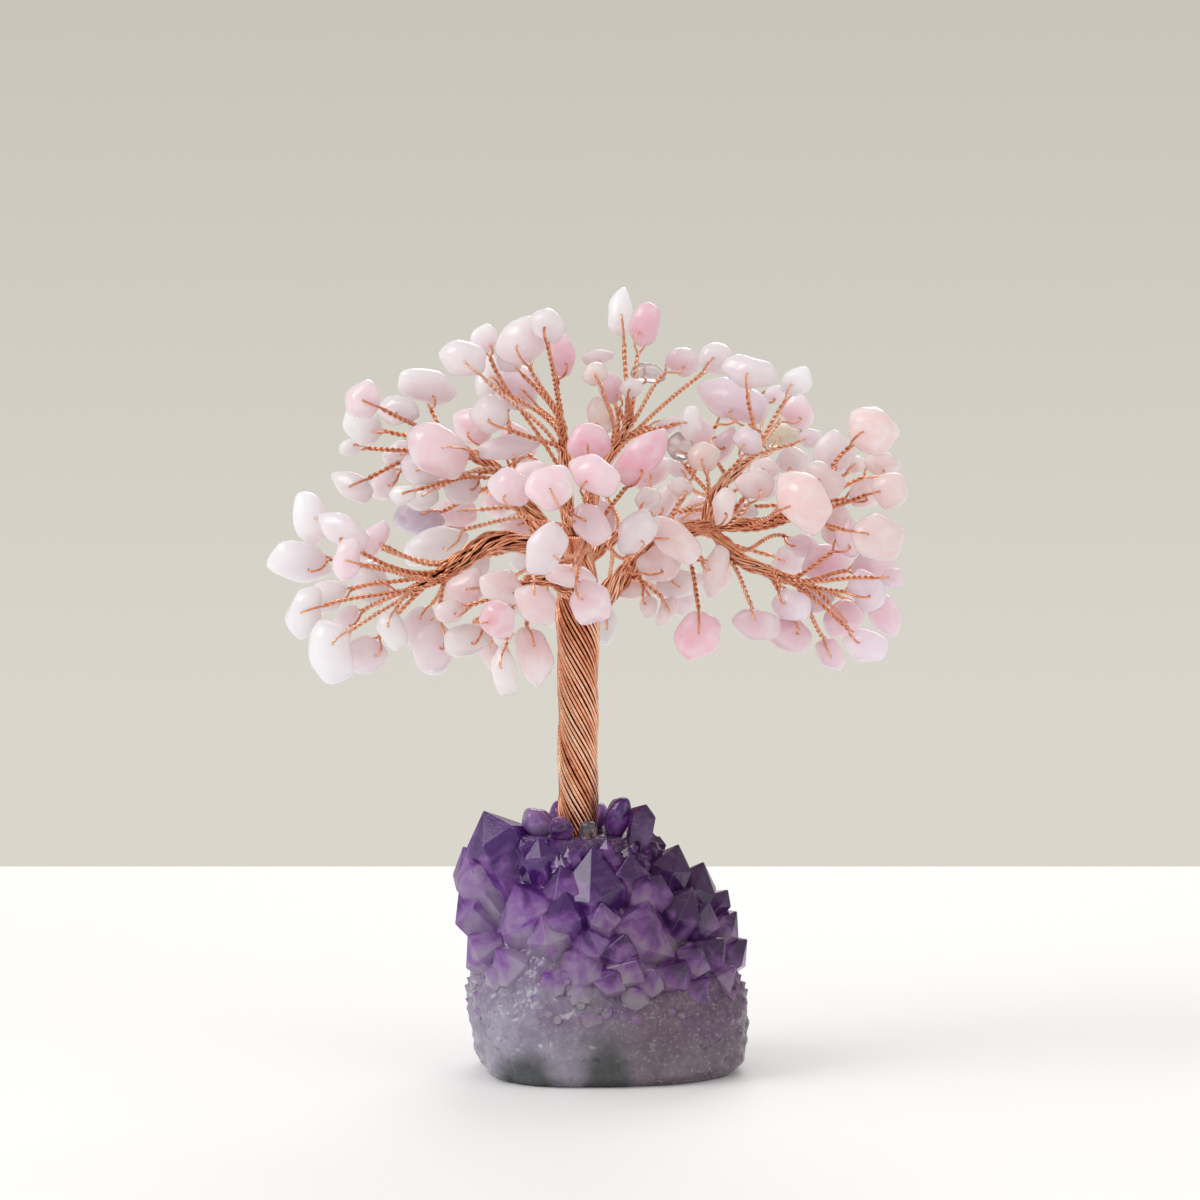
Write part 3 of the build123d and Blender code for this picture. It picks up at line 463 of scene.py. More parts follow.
@dataclass(frozen=True)
class Finish:
    """A surface: a name for material and process, and the shader that it is made of."""

    name: str

    def material(self) -> bpy.types.Material:
        """The Blender material, made once and then shared."""
        found = bpy.data.materials.get(self.name)
        if found:
            return found
        made = bpy.data.materials.new(self.name)
        made.use_nodes = True
        made.node_tree.nodes.clear()
        shader = self.shader(made.node_tree)
        add_node(made.node_tree, "ShaderNodeOutputMaterial", {"Surface": shader.outputs[0]})
        return made

    def shader(self, tree: bpy.types.NodeTree) -> bpy.types.Node:
        """The node that feeds the surface; each finish has its own.

        Args:
            tree: empty node tree.

        Returns:
            A shader node.
        """
        raise NotImplementedError

    @staticmethod
    def scale(size_mm: float) -> float:
        """Texture scale at which one feature is as large as a size in millimetres."""
        return 1 / (size_mm * MM)


@dataclass(frozen=True)
class DrawnCopper(Finish):
    """Bare copper wire, drawn and twisted: a warm metal whose strands differ a little in shade."""

    # Darkest stop: painted shade, which the wire cores take so that the gaps between strands look deep.
    shade: str = "#3c170c"
    dark: str = "#c07254"
    middle: str = "#f0ae8a"
    bright: str = "#fddcc6"
    stain_mm: float = 1.6

    def shader(self, tree: bpy.types.NodeTree) -> bpy.types.Node:
        """Metal whose colour runs over strand tone and fine stains; its darkest stop is painted shade, which the wire
        cores take so that the gaps between the strands look deep.
        """
        place = add_node(tree, "ShaderNodeTexCoord").outputs["Object"]
        stain = add_node(tree, "ShaderNodeTexNoise", {"Vector": place, "Scale": self.scale(self.stain_mm), "Detail": 3.0})
        tone = add_node(tree, "ShaderNodeAttribute", attribute_name="tone")
        sum_up = add_node(tree, "ShaderNodeMath", {0: tone.outputs["Fac"], 1: stain.outputs["Fac"]}, operation="ADD")
        half = add_node(tree, "ShaderNodeMath", {0: sum_up.outputs[0], 1: 0.5}, operation="MULTIPLY")
        colour = ramp(tree, half.outputs[0], ((0.0, self.shade), (0.24, self.dark), (0.5, self.middle), (0.85, self.bright)))
        gloss = add_node(tree, "ShaderNodeMapRange", {"Value": stain.outputs["Fac"], "To Min": 0.24, "To Max": 0.32})
        return add_node(
            tree,
            "ShaderNodeBsdfPrincipled",
            {"Base Color": colour, "Metallic": 1.0, "Roughness": gloss.outputs["Result"]},
        )


@dataclass(frozen=True)
class TumbledQuartz(Finish):
    """Rose quartz polished in a drum: milky, translucent and glossy, with clouds and faint veils inside."""

    cloud_mm: float = 4.0
    veil_mm: float = 1.4

    def shader(self, tree: bpy.types.NodeTree) -> bpy.types.Node:
        """Translucent stone whose own tint is broken by paler clouds and small pits."""
        place = add_node(tree, "ShaderNodeTexCoord").outputs["Object"]
        tint = add_node(tree, "ShaderNodeAttribute", attribute_name="tint")
        cloud = add_node(tree, "ShaderNodeTexNoise", {"Vector": place, "Scale": self.scale(self.cloud_mm), "Detail": 4.0, "Distortion": 0.8})
        amount = add_node(tree, "ShaderNodeMapRange", {"Value": cloud.outputs["Fac"], "From Min": 0.45, "From Max": 0.75, "To Max": 0.45})
        milky = add_node(tree, "ShaderNodeMix", {0: amount.outputs["Result"], 6: tint.outputs["Color"], 7: linear("#fff3f5")}, data_type="RGBA")
        glassy = add_node(tree, "ShaderNodeMapRange", {"Value": tint.outputs["Alpha"], "To Min": 0.8, "To Max": 0.03})
        veil = add_node(tree, "ShaderNodeTexNoise", {"Vector": place, "Scale": self.scale(self.veil_mm), "Detail": 6.0})
        bump = add_node(tree, "ShaderNodeBump", {"Height": veil.outputs["Fac"], "Strength": 0.12, "Distance": 0.3 * MM})
        return add_node(
            tree,
            "ShaderNodeBsdfPrincipled",
            {
                "Base Color": milky.outputs[2],
                "Roughness": 0.1,
                "IOR": 1.54,
                "Subsurface Weight": 1.0,
                "Subsurface Radius": (1.0, 0.9, 0.92),
                "Subsurface Scale": 9.0 * MM,
                "Transmission Weight": glassy.outputs["Result"],
                "Normal": bump.outputs["Normal"],
            },
        )


@dataclass(frozen=True)
class GrownAmethyst(Finish):
    """Natural amethyst points: glassy faces, darkest at the tips and paler towards the rock."""

    zone_mm: float = 5.0
    veil_mm: float = 3.2
    growth_mm: float = 0.5
    left: tuple = ((0.0, "#562480"), (0.25, "#9056b2"), (0.5, "#b08bc6"), (0.75, "#b9a8c6"), (1.0, "#bdb6c4"))
    # The right run is plum and also darker: painted shade on the side away from the key light.
    right: tuple = ((0.0, "#48225c"), (0.25, "#804c94"), (0.5, "#98749f"), (0.75, "#a08a9f"), (1.0, "#a3959f"))

    def shader(self, tree: bpy.types.NodeTree) -> bpy.types.Node:
        """Glassy stone that runs from deep violet to pale lilac by the zone value, smoky patches and veils."""
        place = add_node(tree, "ShaderNodeTexCoord").outputs["Object"]
        colour = zoned(tree, place, self.scale(self.zone_mm), 0.34, self.left, self.right)
        veil = add_node(
            tree,
            "ShaderNodeTexNoise",
            {"Vector": place, "Scale": self.scale(self.veil_mm), "Detail": 6.0, "Roughness": 0.6, "Distortion": 1.2},
        )
        amount = add_node(
            tree, "ShaderNodeMapRange", {"Value": veil.outputs["Fac"], "From Min": 0.52, "From Max": 0.8, "To Max": 0.25}
        )
        veiled = add_node(
            tree, "ShaderNodeMix", {0: amount.outputs["Result"], 6: colour, 7: linear("#b7a3c4")}, data_type="RGBA"
        )
        clear = add_node(tree, "ShaderNodeAttribute", attribute_name="clear")
        growth = add_node(tree, "ShaderNodeTexNoise", {"Vector": place, "Scale": self.scale(self.growth_mm), "Detail": 4.0})
        bump = add_node(tree, "ShaderNodeBump", {"Height": growth.outputs["Fac"], "Strength": 0.15, "Distance": 0.2 * MM})
        return add_node(
            tree,
            "ShaderNodeBsdfPrincipled",
            {
                "Base Color": veiled.outputs[2],
                "Roughness": 0.06,
                "IOR": 1.54,
                "Subsurface Weight": 0.2,
                "Subsurface Radius": (0.9, 0.6, 1.0),
                "Subsurface Scale": 2.0 * MM,
                "Transmission Weight": clear.outputs["Fac"],
                "Normal": bump.outputs["Normal"],
            },
        )


@dataclass(frozen=True)
class BrokenMatrix(Finish):
    """The massive foot of the cluster, broken and left raw: grey-lilac quartz, sugary, with pale specks painted on as
    glints.
    """

    grain_mm: float = 0.8
    # Size of the pale specks, which are painted glints.
    painted_glint_mm: float = 0.7
    cloud_mm: float = 6.0
    # Size of the dark spots that are painted shade of pits.
    pit_shade_mm: float = 2.0
    facet_tilt: float = 0.55
    left: tuple = ((0.0, "#5b3a74"), (0.3, "#7e688e"), (0.55, "#8b7d98"), (0.75, "#968ea2"), (1.0, "#a09bab"))
    # The right run is plum and also darker: painted shade on the side away from the key light.
    right: tuple = ((0.0, "#48294f"), (0.3, "#5a4160"), (0.55, "#645064"), (0.75, "#6d5e68"), (1.0, "#776b73"))

    def shader(self, tree: bpy.types.NodeTree) -> bpy.types.Node:
        """Rough rock with cloudy bands, dark spots painted as the shade of pits, mossy spots and pale specks painted on
        as glints, whose grains are small facets tilted at random.
        """
        place = add_node(tree, "ShaderNodeTexCoord").outputs["Object"]
        rock = zoned(tree, place, self.scale(self.cloud_mm), 0.25, self.left, self.right)
        # Dark spots mixed into the colour: painted shade standing for pits.
        pits = add_node(
            tree, "ShaderNodeTexNoise", {"Vector": place, "Scale": self.scale(self.pit_shade_mm), "Detail": 8.0, "Roughness": 0.7}
        )
        pit = add_node(
            tree, "ShaderNodeMapRange", {"Value": pits.outputs["Fac"], "From Min": 0.62, "From Max": 0.74, "To Max": 0.55}
        )
        pit_shaded = add_node(tree, "ShaderNodeMix", {0: pit.outputs["Result"], 6: rock, 7: linear("#5a4f58")}, data_type="RGBA")
        # Pale specks mixed into the colour: painted glints of light on the grains.
        glint_noise = add_node(tree, "ShaderNodeTexNoise", {"Vector": place, "Scale": self.scale(self.painted_glint_mm), "Detail": 2.0})
        speck = add_node(
            tree, "ShaderNodeMapRange", {"Value": glint_noise.outputs["Fac"], "From Min": 0.58, "From Max": 0.7, "To Max": 0.3}
        )
        with_painted_glints = add_node(
            tree, "ShaderNodeMix", {0: speck.outputs["Result"], 6: pit_shaded.outputs[2], 7: linear("#c2bbc6")}, data_type="RGBA"
        )
        moss = add_node(tree, "ShaderNodeAttribute", attribute_name="moss")
        spotted = add_node(
            tree, "ShaderNodeMix", {0: moss.outputs["Fac"], 6: with_painted_glints.outputs[2], 7: linear("#39403f")}, data_type="RGBA"
        )
        grain = add_node(tree, "ShaderNodeTexVoronoi", {"Vector": place, "Scale": self.scale(self.grain_mm)})
        offset = add_node(
            tree, "ShaderNodeVectorMath", {0: grain.outputs["Color"], 1: (0.5, 0.5, 0.5)}, operation="SUBTRACT"
        )
        tilt = add_node(tree, "ShaderNodeVectorMath", {0: offset.outputs[0], "Scale": self.facet_tilt}, operation="SCALE")
        upright = add_node(tree, "ShaderNodeNewGeometry").outputs["Normal"]
        tilted = add_node(tree, "ShaderNodeVectorMath", {0: upright, 1: tilt.outputs[0]}, operation="ADD")
        normal = add_node(tree, "ShaderNodeVectorMath", {0: tilted.outputs[0]}, operation="NORMALIZE")
        return add_node(
            tree,
            "ShaderNodeBsdfPrincipled",
            {
                "Base Color": spotted.outputs[2],
                "Roughness": 0.2,
                "IOR": 1.54,
                "Subsurface Weight": 0.5,
                "Subsurface Radius": (0.9, 0.8, 1.0),
                "Subsurface Scale": 2.5 * MM,
                "Normal": normal.outputs[0],
            },
        )


@dataclass(frozen=True)
class ClearResin(Finish):
    """Set epoxy in the socket: clear, a little yellow, with small bubbles."""

    def shader(self, tree: bpy.types.NodeTree) -> bpy.types.Node:
        """Glossy clear plastic with a bubbly surface."""
        place = add_node(tree, "ShaderNodeTexCoord").outputs["Object"]
        bubbles = add_node(tree, "ShaderNodeTexVoronoi", {"Vector": place, "Scale": self.scale(0.8)})
        colour = ramp(tree, bubbles.outputs["Distance"], ((0.0, "#d8cfb8"), (1.0, "#e8e2d2")))
        return add_node(
            tree, "ShaderNodeBsdfPrincipled", {"Base Color": colour, "Roughness": 0.15, "Transmission Weight": 0.6}
        )


@dataclass(frozen=True)
class MattBoard(Finish):
    """Painted board of the floor: even and pale."""

    colour: str = "#fcfbfa"

    def shader(self, tree: bpy.types.NodeTree) -> bpy.types.Node:
        """Plain pale paint."""
        return add_node(tree, "ShaderNodeBsdfPrincipled", {"Base Color": linear(self.colour), "Roughness": 0.6})


COPPER = DrawnCopper("drawn_copper_wire")
QUARTZ = TumbledQuartz("tumbled_rose_quartz")
AMETHYST = GrownAmethyst("grown_amethyst_points")
MATRIX = BrokenMatrix("broken_amethyst_matrix")
RESIN = ClearResin("clear_set_epoxy")
BOARD = MattBoard("matt_painted_board")


def make_piece(
    name: str, surface: Surface, finish: Finish, body: str, nodes: tuple, smooth: bool = True
) -> bpy.types.Object:
    """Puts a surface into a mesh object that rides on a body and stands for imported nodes.

    Args:
        name: name of the piece.
        surface: its points, faces and values; values are numbers or colours at the points.
        finish: its surface.
        body: body that it moves with.
        nodes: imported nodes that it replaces.
        smooth: whether its faces are shaded as one curve.

    Returns:
        The object.
    """
    mesh = bpy.data.meshes.new(name)
    mesh.from_pydata(surface.points.tolist(), [], [face for block in surface.faces for face in block.tolist()])
    for key, values in surface.values.items():
        colour = values.ndim == 2
        attribute = mesh.attributes.new(key, "FLOAT_COLOR" if colour else "FLOAT", "POINT")
        attribute.data.foreach_set("color" if colour else "value", values.astype(np.float32).ravel())
    mesh.polygons.foreach_set("use_smooth", np.full(len(mesh.polygons), smooth))
    mesh.materials.append(finish.material())
    piece = bpy.data.objects.new(name, mesh)
    bpy.context.scene.collection.objects.link(piece)
    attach(piece, body)
    if nodes:
        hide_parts(*nodes)
    LOG.info("%s: %d points on %s", name, len(surface.points), body)
    return piece


@dataclass
class Pebbles:
    """Tumbled stones in the place of drilled solids: soft polyhedra with dents."""

    rings: int = 17
    columns: int = 26
    swell: float = 1.2
    plump: float = 1.04
    roundness: float = 0.35
    ripple: float = 0.05
    dent: float = 0.18
    softness: tuple[float, float] = (5.5, 11.0)

    def stone(self, points: np.ndarray, triangles: np.ndarray, seed: int) -> tuple[np.ndarray, list]:
        """One stone inside a solid's outer planes.

        Its radius in a direction d is (sum over planes of max(0, n.d / h) ** p) ** (-1 / p), where n and h
        are a plane's normal and distance: the higher p is, the sharper are the edges. It is blended with
        the ellipsoid of the solid's extents, and ripples and two round dents are taken off it.

        Args:
            points: merged points of the solid.
            triangles: its triangles.
            seed: number that fixes its dents.

        Returns:
            Points in metres and blocks of faces.
        """
        rng = np.random.default_rng(seed)
        centre = (points.min(axis=0) + points.max(axis=0)) / 2
        corners = points[triangles] - centre
        normals = np.cross(corners[:, 1] - corners[:, 0], corners[:, 2] - corners[:, 0])
        normals = unit(normals)[np.linalg.norm(normals, axis=1) > 1e-12]
        reach = ((points - centre) @ normals.T).max(axis=0)
        own = np.sum(normals * corners[np.linalg.norm(np.cross(corners[:, 1] - corners[:, 0], corners[:, 2] - corners[:, 0]), axis=1) > 1e-12][:, 0], axis=1)
        planes = np.unique(np.round(np.column_stack((normals, reach / MM))[own > reach - 0.01 * MM], 3), axis=0)
        _, _, axes = np.linalg.svd(points - centre, full_matrices=False)
        extents = np.abs((points - centre) @ axes.T).max(axis=0)
        globe, faces = ball_grid(self.rings, self.columns)
        ways = unit((globe * extents) @ axes)
        facing = np.maximum(ways @ planes[:, :3].T / planes[:, 3], 0)
        power = rng.uniform(*self.softness)
        flat = np.sum(facing**power, axis=1) ** (-1 / power) * self.swell
        round_off = self.plump / np.linalg.norm(ways @ axes.T / extents, axis=1) / MM
        radius = ((1 - self.roundness) * flat**-4 + self.roundness * round_off**-4) ** -0.25
        radius *= 1 + self.ripple * waves(ways, 1.6, seed + 1, 8)
        for hollow in unit(rng.normal(size=(2, 3))):
            radius *= 1 - self.dent * rng.uniform(0.2, 1) * np.exp(-np.sum((ways - hollow) ** 2, axis=1) / 0.3)
        flip = np.linalg.det(axes) < 0
        return centre + radius[:, None] * MM * ways, [block[:, ::-1] if flip else block for block in faces]


@dataclass
class LeafStones(Pebbles):
    """The rose quartz chips of one branch."""

    branch: Branch = Branch.LEFT_LOW

    def tints(self, centres: np.ndarray, rng: np.random.Generator) -> np.ndarray:
        """A colour for each chip: drawn from the branch's shares, unless one is set by its place.

        Args:
            centres: array (n, 3) in metres.
            rng: source of the draw.

        Returns:
            Array (n, 4) of linear colours.
        """
        choices, shares = zip(*TINT_SHARES[self.branch].items())
        drawn = rng.choice(len(choices), len(centres), p=np.array(shares) / sum(shares))
        tints = [choices[number] for number in drawn]
        places = photo_place(centres)
        for place, tint in TINTS_PX.items():
            gaps = np.linalg.norm(places - place, axis=1)
            if gaps.min() < 7:
                tints[int(np.argmin(gaps))] = tint
        colours = np.array([linear(tint.value) for tint in tints])
        colours[:, 3] = [0.15 if tint in CLEAR_TINTS else rng.uniform(0.8, 1.0) for tint in tints]
        return colours * np.append(rng.uniform(0.95, 1.03, 3), 1)

    def build(self) -> None:
        """Makes all chips of the branch as one piece."""
        node = f"{self.branch.value}_chips"
        solids = node_solids(node)
        seed = 100 * (list(Branch).index(self.branch) + 1)
        centres = np.array([points.mean(axis=0) for points, _ in solids])
        tints = self.tints(centres, np.random.default_rng(seed))
        parts = []
        for number, ((points, triangles), tint) in enumerate(zip(solids, tints)):
            places, faces = self.stone(points, triangles, seed + number)
            parts.append(Surface(places, faces, {"tint": np.tile(tint, (len(places), 1))}))
        make_piece(f"{self.branch.value}_stones", Surface.joined(parts), QUARTZ, self.branch.body, (node,))


@dataclass
class PendantStone(Pebbles):
    """The chip that hangs from its loop below the right limb."""

    def build(self) -> None:
        """Makes the hanging chip."""
        points, triangles = node_solids("pendant_chip")[0]
        places, faces = self.stone(points, triangles, 7)
        tint = np.tile(linear("#fbc0cb"), (len(places), 1))
        make_piece("pendant_stone", Surface(places, faces, {"tint": tint}), QUARTZ, "pendant", ("pendant_chip",))


@dataclass
class FootStones(Pebbles):
    """Tumbled amethyst round the foot of the trunk, dark and glossy, one of them nearly clear."""

    swell: float = 1.12
    looks: tuple = (
        (20, 0.1, 0.3, 0.2), (65, 0.3, 0.0, 0.3), (110, 0.15, 0.5, 0.2), (156, 0.4, 0.0, 0.3),
        (195, 0.5, 0.0, 0.35), (245, 0.2, 0.9, 0.3), (286, 1.0, 0.0, 0.9), (335, 0.0, 0.5, 0.2),
    )

    def build(self) -> None:
        """Makes the foot stones as one piece."""
        parts = []
        for number, (points, triangles) in enumerate(node_solids("foot_chips")):
            places, faces = self.stone(points, triangles, 40 + number)
            wide, deep, _ = points.mean(axis=0)
            turned = np.degrees(np.arctan2(deep, wide)) % 360
            look = min(self.looks, key=lambda row: abs(row[0] - turned))
            values = dict(zip(("zone", "flank", "clear"), look[1:]))
            parts.append(Surface(places, faces, {key: np.full(len(places), value) for key, value in values.items()}))
        make_piece("foot_stones", Surface.joined(parts), AMETHYST, ROOT_BODY, ("foot_chips",))


@dataclass
class Spray:
    """A branch: pairs of wire that run twisted together from the trunk and leave one by one for their chips."""

    branch: Branch
    wire_radius: float = 0.26
    pair_pitch: float = 2.5
    straight_pitch: float = 18.0
    lay_degrees: tuple[float, float] = (38.0, 8.0)
    line_step: float = 0.3
    bundle_steps: int = 80
    run_steps: int = 72
    loop_steps: int = 26
    lead: float = 3.5
    bow: float = 0.04
    inside: tuple[float, float] = (0.5, 0.5)
    rooted: float = 3.0
    gathered: float = 0.45
    spread: float = 4.0

    def line(self) -> tuple[np.ndarray, np.ndarray]:
        """A smooth centre-line from inside the parent to the tip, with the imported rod's radius.

        Returns:
            Array (m, 3) in metres and array (m) in metres.
        """
        points, triangles = node_solids(f"{self.branch.value}_branch")[0]
        pivots = {joint["child"]: joint["pos_m"] for joint in frame["joints"]}
        start = np.array(pivots.get(self.branch.value, (0, 0, 0)))
        rings = ring_chain(points, triangles, 7, start)
        centres = rings.mean(axis=1)
        radii = np.linalg.norm(rings - centres[:, None], axis=2).mean(axis=1)
        radii[0] = radii[1]
        if self.branch in (Branch.RIGHT_HIGH, Branch.RIGHT_LOW):
            inner = centres[0] - 1.5 * MM * unit(centres[1] - centres[0])
        else:
            inner = centres[0] * (*self.inside, 1) - (0, 0, self.rooted * MM)
        centres = np.concatenate(([inner], centres))
        radii = np.concatenate(([0.8 * radii[0]], radii))
        length = np.linalg.norm(np.diff(centres, axis=0), axis=1).sum()
        weights = spline_weights(len(centres), int(length / self.line_step / MM))
        return weights @ centres, np.clip(weights @ radii, radii.min(), radii.max())

    def build(self) -> None:
        """Makes all wires of the branch and a core as one piece.

        In the bundle a pair's middle is c(s) + q (cos a n + sin a b): q follows the square root of its rank,
        since those that leave last lie inside, and a turns with the lay, which eases off outwards. Then a
        cubic Bezier curve takes it to its chip. Each leg runs round that middle at a pitch that shortens
        outwards, and a spline through the two mouths of the hole joins the legs.
        """
        rings = np.stack([ring_chain(*solid, 3).mean(axis=1) for solid in node_solids(f"{self.branch.value}_wires")])
        root, joint = (rings[:, 0] + rings[:, 5]) / 2, (rings[:, 1] + rings[:, 4]) / 2
        hole = (rings[:, 2] + rings[:, 3]) / 2
        count = len(rings)
        rng = np.random.default_rng(50 + list(Branch).index(self.branch))
        centre, radius = self.line()
        steps = np.linalg.norm(np.gradient(centre, axis=0), axis=1)
        station = np.cumsum(steps) - steps[0]
        tangent = unit(np.gradient(centre, axis=0))
        normal = transported(tangent[None], side_of(tangent[None]))[0]
        leave = station[np.argmin(np.linalg.norm(centre[None] - root[:, None], axis=2), axis=1)] - self.lead * MM
        leave = np.maximum(leave, 1.5 * MM)
        rank = np.argsort(np.argsort(-leave))
        slope = np.radians(np.interp(station / station[-1], (0, 0.7), self.lay_degrees))
        lay = -np.cumsum(steps * np.tan(slope) / np.maximum(radius, 1.2 * MM))
        along = leave[:, None] * np.linspace(0, 1, self.bundle_steps)
        frames = np.concatenate((centre, tangent, normal), axis=1)
        inner, ahead, side = np.split(np.stack([np.interp(along, station, values) for values in frames.T], axis=-1), 3, axis=-1)
        turned = (2.4 * rank[:, None] + np.interp(along, station, lay))[..., None]
        reach = (radius.max() - 0.45 * MM) * np.sqrt((rank + 0.4) / count)[:, None, None]
        reach = reach * np.interp(along, (0, self.spread * MM), (self.gathered, 1))[..., None]
        bundle = inner + reach * (np.cos(turned) * side + np.sin(turned) * np.cross(ahead, side))
        start = bundle[:, -1]
        span = np.linalg.norm(joint - start, axis=1, keepdims=True)
        way = unit(joint - start)
        aside = unit(np.cross(way, rng.normal(size=way.shape)))
        first = start + 0.3 * span * unit(unit(start - bundle[:, -3]) + 0.6 * way)
        second = joint - 0.3 * span * unit(way + 0.6 * unit(hole - joint)) + self.bow * span * aside
        share = np.linspace(0, 1, self.run_steps)[None, 1:, None]
        run = (1 - share) ** 3 * start[:, None] + 3 * share * (1 - share) ** 2 * first[:, None]
        run = run + 3 * share**2 * (1 - share) * second[:, None] + share**3 * joint[:, None]
        curve = np.concatenate((bundle, run), axis=1)
        tangents = unit(np.gradient(curve, axis=1))
        back = transported(tangents[:, ::-1], unit(rings[:, 1] - rings[:, 4]))[:, ::-1]
        straight = np.interp(along / station[-1], (0.1, 0.75), (self.straight_pitch, 1.3 * self.pair_pitch))
        pitch = np.concatenate((straight, np.full(run.shape[:2], self.pair_pitch)), axis=1) * MM
        turn = np.cumsum(2 * np.pi * np.linalg.norm(np.gradient(curve, axis=1), axis=2) / pitch, axis=1)
        turn = (turn - turn[:, -1:])[..., None]
        swing = self.wire_radius * MM * (np.cos(turn) * back + np.sin(turn) * np.cross(tangents, back))
        near, far = curve + swing, curve - swing
        rise = 0.82 * (rings[:, 2] - hole)
        bend = joint + 0.45 * (hole - joint)
        controls = np.stack(
            (near[:, -4], near[:, -1], bend + 0.85 * rise, hole + rise, hole, hole - rise, bend - 0.85 * rise, far[:, -1], far[:, -4]),
            axis=1,
        )
        loop = np.einsum("mk,nkd->nmd", spline_weights(9, self.loop_steps + 8), controls)[:, 4:-4]
        wires = np.concatenate((near[:, :-1], loop[:, 1:-1], far[:, -2::-1]), axis=1)
        strands = tubes(wires, self.wire_radius * MM, 5, rng.uniform(0.2, 0.9, count))
        staying = (leave[:, None] > station).mean(axis=0)
        girth = np.maximum(0.8 * (radius.max() - 0.5 * MM) * np.sqrt(staying) - 0.2 * MM, 0.1 * MM)
        girth = girth * np.interp(station, (0, self.spread * MM), (self.gathered, 1))
        held = station <= leave.max()
        # The core's tone of -0.6 gives it the darkest copper: painted shade in the gaps between the wires.
        core = tubes(centre[None, held], girth[None, held], 10, np.array([-0.6]))
        nodes = (f"{self.branch.value}_branch", f"{self.branch.value}_wires")
        make_piece(f"{self.branch.value}_spray", Surface.joined([strands, core]), COPPER, self.branch.body, nodes)


@dataclass
class Trunk:
    """The trunk: copper strands laid left-handed round a core, in a few swelling groups."""

    strands: int = 28
    wire_radius: float = 0.31
    pitch: float = 43.0
    groups: int = 3
    swell: float = 0.16
    profile: tuple = ((40.1, 3.75), (62, 3.7), (80, 3.75), (91, 4.1), (97, 3.9), (104, 2.8), (108.2, 2.2))

    def build(self) -> None:
        """Makes the strands and the core as one piece.

        A strand's angle falls steadily with height, and its distance from the axis swells with the group
        that it lies in.
        """
        heights, radii = np.array(self.profile).T
        level = np.linspace(heights[0], heights[-1], 110)
        radius = np.interp(level, heights, radii)
        rng = np.random.default_rng(3)
        angle = 2 * np.pi * (np.arange(self.strands)[:, None] / self.strands - level / self.pitch)
        phase = self.groups * (angle + 2 * np.pi * level / self.pitch)
        reach = radius + self.swell * np.cos(phase) + rng.uniform(-0.05, 0.05, (self.strands, 1))
        angle = angle + 0.02 * np.sin(level / 6 + rng.uniform(0, 6, (self.strands, 1)))
        paths = np.stack((reach * np.cos(angle), reach * np.sin(angle), level + 0 * angle), axis=-1) * MM
        tones = 0.55 + 0.2 * np.cos(phase[:, 0]) + rng.uniform(-0.3, 0.3, self.strands)
        wires = tubes(paths, self.wire_radius * MM, 6, tones)
        spine = np.stack((0 * level, 0 * level, level), axis=-1)[None] * MM
        # The core's tone of -0.6 gives it the darkest copper: painted shade in the gaps between the strands.
        core = tubes(spine, (radius - 0.25)[None] * MM, 24, np.array([-0.6]))
        make_piece("trunk_strands", Surface.joined([wires, core]), COPPER, ROOT_BODY, ("trunk",))


